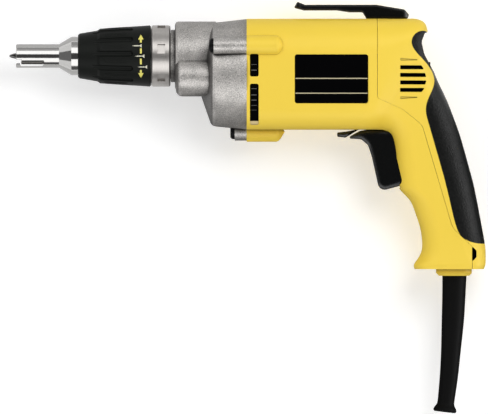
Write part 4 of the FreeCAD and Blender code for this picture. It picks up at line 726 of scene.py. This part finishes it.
class SCREWDRIVER_OT_nosepiece(bpy.types.Operator):
    """Finish the nose locator, the depth collar and the ring that holds them"""

    bl_idname = "screwdriver.nosepiece"
    bl_label = "Nosepiece"

    def execute(self, context):
        colours, sizes = context.scene.screwdriver_colours, context.scene.screwdriver_prints
        collar = collar_acetal(colours)
        dress(polished_steel(colours), "nose_locator")
        dress(satin_ring(colours), "nosepiece_ring")
        dress(collar, "depth_collar")
        lands = LAND_TURN + 2.0 * math.pi / GROOVES * np.arange(GROOVES)
        steps = RIB_SPACING / COLLAR_RIM_RADIUS * (np.arange(RIBS_PER_LAND) - (RIBS_PER_LAND - 1) / 2)
        turns = np.add.outer(lands, steps).ravel()
        piece("collar_ribs", [collar_rib(turn, sizes) for turn in turns], collar, "collar")
        return {"FINISHED"}


class SCREWDRIVER_OT_collar_marks(bpy.types.Operator):
    """Print the arrows, dashes and screw signs on the depth collar"""

    bl_idname = "screwdriver.collar_marks"
    bl_label = "Collar Marks"

    def execute(self, context):
        colours, sizes = context.scene.screwdriver_colours, context.scene.screwdriver_prints
        proud, half = sizes.print_height, sizes.arrow_stem / 2
        yellow = [upright_mark(arrow(tip, sizes), sizes.arrow_x, proud) for tip in ARROW_TIPS]
        yellow += [upright_mark([(low, half), (high, half)], sizes.arrow_x, proud) for low, high in DASHES]
        ink = pad_print("Yellow ink, pad printed", colours.print_yellow)
        piece("collar_arrows", yellow, ink, "collar")
        signs = [lying_mark(screw_sign(sizes.sign_length), head - sizes.sign_length, arc, proud)
                 for arc, head in zip(SIGN_ARCS, SIGN_HEADS)]
        ink = pad_print("White ink, pad printed", colours.print_pale)
        piece("collar_screw_signs", signs, ink, "collar")
        return {"FINISHED"}


class SCREWDRIVER_OT_name_panel(bpy.types.Operator):
    """Finish the bare side panel and print its two lines"""

    bl_idname = "screwdriver.name_panel"
    bl_label = "Side Panel"

    def execute(self, context):
        colours, sizes = context.scene.screwdriver_colours, context.scene.screwdriver_prints
        dress(panel_film(colours), "name_panel")
        lines = [panel_line(drop, sizes) for drop in PANEL_LINE_DROPS]
        ink = pad_print("Pale ink, screen printed", colours.panel_line)
        piece("panel_lines", lines, ink, "tool")
        return {"FINISHED"}


class SCREWDRIVER_OT_controls(bpy.types.Operator):
    """Finish the trigger, the reversing lever and the switch behind them"""

    bl_idname = "screwdriver.controls"
    bl_label = "Controls"

    def execute(self, context):
        dress(gloss_nylon(context.scene.screwdriver_colours), "trigger", "reversing_lever", "switch_body")
        return {"FINISHED"}


class SCREWDRIVER_OT_belt_hook(bpy.types.Operator):
    """Finish the belt hook on top of the housing"""

    bl_idname = "screwdriver.belt_hook"
    bl_label = "Belt Hook"

    def execute(self, context):
        dress(hook_nylon(context.scene.screwdriver_colours), "belt_hook", "cord_clamp")
        return {"FINISHED"}


class SCREWDRIVER_OT_cord_protector(bpy.types.Operator):
    """Finish the cord protector and the small rubber pieces"""

    bl_idname = "screwdriver.cord_protector"
    bl_label = "Cord Protector"

    def execute(self, context):
        dress(protector_rubber(context.scene.screwdriver_colours), "cord_protector", "nosepiece_oring",
              "rear_bearing_boot")
        return {"FINISHED"}


class SCREWDRIVER_OT_inner_pieces(bpy.types.Operator):
    """Finish the bit, the drive train, the motor and the screws by their slots in the record"""

    bl_idname = "screwdriver.inner_pieces"
    bl_label = "Drive, Motor and Screws"

    def execute(self, context):
        finishes = inner_finishes()
        finishes["bright_steel"] = polished_steel(context.scene.screwdriver_colours)
        shown = ("nose_locator", "nosepiece_ring")
        for part in frame["record"]["subparts"]:
            if part["material_slot"] in finishes and part["node"] not in shown:
                dress(finishes[part["material_slot"]], part["node"])
        return {"FINISHED"}


# Stage


def see_background(tree):
    """A factor that is one for camera, mirror and glass rays, and nothing for the light on the tool."""
    path = add(tree, "ShaderNodeLightPath")
    seen = add(tree, "ShaderNodeMath", {0: path.outputs["Is Camera Ray"], 1: path.outputs["Is Glossy Ray"]},
               operation="MAXIMUM")
    return add(tree, "ShaderNodeMath", {0: seen.outputs["Value"], 1: path.outputs["Is Transmission Ray"]},
               operation="MAXIMUM").outputs["Value"]


def white_world(stage):
    """White where it is seen, and elsewhere a soft light that goes evenly from upper to lower level."""
    world = bpy.data.worlds.new("White studio")
    world.use_nodes = True
    tree = world.node_tree
    tree.nodes.clear()
    way = add(tree, "ShaderNodeSeparateXYZ", {"Vector": add(tree, "ShaderNodeTexCoord").outputs["Generated"]})
    soft = add(tree, "ShaderNodeMapRange", {
        "Value": way.outputs["Z"], "From Min": -1.0, "From Max": 1.0, "To Min": stage.ground,
        "To Max": stage.sky})
    level = add(tree, "ShaderNodeMix", {
        "Factor": see_background(tree), "A": soft.outputs["Result"], "B": 1.0})
    light = add(tree, "ShaderNodeBackground", {"Color": WHITE, "Strength": level.outputs["Result"]})
    add(tree, "ShaderNodeOutputWorld", {"Surface": light.outputs["Background"]})
    bpy.context.scene.world = world


# The sheet's colour, its lift to white where it is seen, its half side and its gap behind the tool
PAPER = (0.8, 0.8, 0.8, 1.0)
SHEET_LIFT = 0.36
SHEET_HALF = 2500.0
SHEET_GAP = 0.5


def white_sheet():
    """Matt white paper that the tool lies on: it keeps the shadow, and is clear from behind."""
    material, tree, _ = new_finish("Paper, matt white")
    paper = add(tree, "ShaderNodeBsdfDiffuse", {"Color": PAPER})
    lift = add(tree, "ShaderNodeMath", {0: see_background(tree), 1: SHEET_LIFT}, operation="MULTIPLY")
    glow = add(tree, "ShaderNodeEmission", {"Color": WHITE, "Strength": lift.outputs["Value"]})
    front = add(tree, "ShaderNodeAddShader", {0: paper.outputs["BSDF"], 1: glow.outputs["Emission"]})
    clear = add(tree, "ShaderNodeBsdfTransparent")
    side = add(tree, "ShaderNodeNewGeometry")
    both = add(tree, "ShaderNodeMixShader", {
        0: side.outputs["Backfacing"], 1: front.outputs["Shader"], 2: clear.outputs["BSDF"]})
    add(tree, "ShaderNodeOutputMaterial", {"Surface": both.outputs["Shader"]})
    return material


def flat_sheet(name, centre, across, along, finish):
    """A rectangle whose corners lie one half side each way from its centre along two directions."""
    sides = np.array([(-1.0, -1.0), (1.0, -1.0), (1.0, 1.0), (-1.0, 1.0)])
    points = (np.array(centre) + sides @ np.array([across, along])) * MM
    mesh = bpy.data.meshes.new(name)
    mesh.from_pydata(points.tolist(), [], [(0, 1, 2, 3)])
    mesh.materials.append(finish)
    made = bpy.data.objects.new(name, mesh)
    bpy.context.scene.collection.objects.link(made)
    return made


def softbox(name, toward, reach, size, share, aim):
    """A square area lamp that lights a surface facing it by the given share of white at its aim.

    It throws the soft shadow. Mirrors do not show it, so glossy blacks stay deep.
    """
    direction = np.array(toward) / np.linalg.norm(toward)
    data = bpy.data.lights.new(name, "AREA")
    data.shape = "SQUARE"
    data.size = size * MM
    data.energy = share * (math.pi * reach * MM) ** 2
    lamp = bpy.data.objects.new(name, data)
    lamp.location = (np.array(aim) + direction * reach) * MM
    lamp.rotation_euler = Vector(direction).to_track_quat("Z", "Y").to_euler()
    lamp.visible_glossy = False
    bpy.context.scene.collection.objects.link(lamp)


def card(name, level, centre, across, along):
    """A card that only mirrors show: bright panels and dark flags give the metal its bands."""
    material, tree, _ = new_finish("Card, " + name)
    shine = add(tree, "ShaderNodeEmission", {"Color": WHITE, "Strength": level})
    add(tree, "ShaderNodeOutputMaterial", {"Surface": shine.outputs["Emission"]})
    made = flat_sheet(name, centre, across, along, material)
    made.visible_camera = False
    made.visible_diffuse = False
    made.visible_shadow = False


# Where the softboxes stand as seen from the tool, how far away, and their side
KEY_TOWARD = (0.32, -0.9, 0.36)
BACK_TOWARD = (-0.3, 0.9, 0.3)
KEY_REACH = 1100.0
KEY_SIZE = 450.0
# The camera's sensor in millimetres, and how far it sees in metres
SENSOR_WIDTH = 36.0
CLIP_END = 100.0
# The middle of the studio, the half width of its large cards, and the place of the shades close to the sheet
MID_X = 147.0
WIDE = (1400.0, 0.0, 0.0)
SHADE_Y = 38.45
# Brightness, centre and the two half sides of each card
CARDS = {
    "camera_flag": (0.07, (MID_X, -1500.0, -45.0), WIDE, (0.0, 0.0, 495.0)),
    "upper_panel": (1.8, (MID_X, -1000.0, 748.0), WIDE, (0.0, 0.0, 442.0)),
    "upper_line": (0.05, (MID_X, -800.0, 1180.0), WIDE, (0.0, 50.0, 0.0)),
    "ceiling": (0.45, (MID_X, -381.0, 1500.0), WIDE, (0.0, 419.0, 0.0)),
    "lower_panel": (1.8, (MID_X, -1000.0, -1032.0), WIDE, (0.0, 0.0, 668.0)),
    "floor_flag": (0.12, (MID_X, -346.0, -1500.0), WIDE, (0.0, 384.0, 0.0)),
    "front_flag": (0.2, (-850.0, -305.0, 0.0), (0.0, 335.0, 0.0), (0.0, 0.0, 420.0)),
    # The shades glow dimly in front of the sheet for mirrors only: a painted reflection of the sheet's shadow
    # beside the tool
    "shade_above": (0.45, (270.0, SHADE_Y, 190.0), (170.0, 0.0, 0.0), (0.0, 0.0, 165.0)),
    "shade_below": (0.08, (270.0, SHADE_Y, -200.0), (170.0, 0.0, 0.0), (0.0, 0.0, 175.0)),
    "rear_panel": (5.0, (1300.0, -250.0, -100.0), (0.0, 280.0, 0.0), (0.0, 0.0, 450.0)),
    "shade_nose": (0.7, (20.0, SHADE_Y, 0.0), (80.0, 0.0, 0.0), (0.0, 0.0, 355.0)),
}


class SCREWDRIVER_OT_stage(bpy.types.Operator):
    """Set the white sheet, the light and the camera"""

    bl_idname = "screwdriver.stage"
    bl_label = "Photo Stage"

    def execute(self, context):
        stage = context.scene.screwdriver_stage
        aim = (stage.centre_x, 0.0, -stage.centre_drop)
        data = bpy.data.cameras.new("Camera")
        data.sensor_width = SENSOR_WIDTH
        data.lens = data.sensor_width * stage.camera_reach / stage.frame_width
        data.clip_end = CLIP_END
        camera = bpy.data.objects.new("Camera", data)
        camera.location = (aim[0] * MM, -stage.camera_reach * MM, aim[2] * MM)
        camera.rotation_euler = (math.pi / 2, 0.0, 0.0)
        context.scene.collection.objects.link(camera)
        context.scene.camera = camera
        context.scene.view_settings.view_transform = "Standard"
        white_world(stage)
        behind = (aim[0], CAD_BOX[1][1] / MM + SHEET_GAP, aim[2])
        sheet = flat_sheet("white_sheet", behind, (SHEET_HALF, 0.0, 0.0), (0.0, 0.0, SHEET_HALF),
                           white_sheet())
        sheet.visible_shadow = False
        for name, place in CARDS.items():
            card(name, *place)
        softbox("key_softbox", KEY_TOWARD, KEY_REACH, KEY_SIZE, stage.key, aim)
        softbox("back_softbox", BACK_TOWARD, KEY_REACH, KEY_SIZE, stage.back, aim)
        return {"FINISHED"}


class SCREWDRIVER_PT_finishes(bpy.types.Panel):
    """Lists the steps and settings of the finishes"""

    bl_label = "Screwdriver Finishes"
    bl_idname = "SCREWDRIVER_PT_finishes"
    bl_space_type = "VIEW_3D"
    bl_region_type = "UI"
    bl_category = "Screwdriver"

    def draw(self, context):
        """One button for each step, then one box for each group of settings."""
        for step in STEPS:
            self.layout.operator(step.bl_idname)
        for group in ("screwdriver_colours", "screwdriver_prints", "screwdriver_stage"):
            settings = getattr(context.scene, group)
            box = self.layout.box()
            for name in settings.bl_rna.properties.keys():
                if name not in ("rna_type", "name"):
                    box.prop(settings, name)


STEPS = (
    SCREWDRIVER_OT_housing,
    SCREWDRIVER_OT_vent_screens,
    SCREWDRIVER_OT_grip,
    SCREWDRIVER_OT_gear_case,
    SCREWDRIVER_OT_nosepiece,
    SCREWDRIVER_OT_collar_marks,
    SCREWDRIVER_OT_name_panel,
    SCREWDRIVER_OT_controls,
    SCREWDRIVER_OT_belt_hook,
    SCREWDRIVER_OT_cord_protector,
    SCREWDRIVER_OT_inner_pieces,
    SCREWDRIVER_OT_stage,
)
CLASSES = (FinishColours, PrintSizes, StageSettings, *STEPS, SCREWDRIVER_PT_finishes)


def register():
    """Registers the classes and puts their settings on the scene."""
    for made in CLASSES:
        bpy.utils.register_class(made)
    bpy.types.Scene.screwdriver_colours = PointerProperty(type=FinishColours)
    bpy.types.Scene.screwdriver_prints = PointerProperty(type=PrintSizes)
    bpy.types.Scene.screwdriver_stage = PointerProperty(type=StageSettings)


def unregister():
    """Takes the settings off the scene and the classes out again."""
    del bpy.types.Scene.screwdriver_stage
    del bpy.types.Scene.screwdriver_prints
    del bpy.types.Scene.screwdriver_colours
    for made in reversed(CLASSES):
        bpy.utils.unregister_class(made)


def main():
    register()
    for step in STEPS:
        group, name = step.bl_idname.split(".")
        getattr(getattr(bpy.ops, group), name)()


if __name__ == "__main__":
    main()
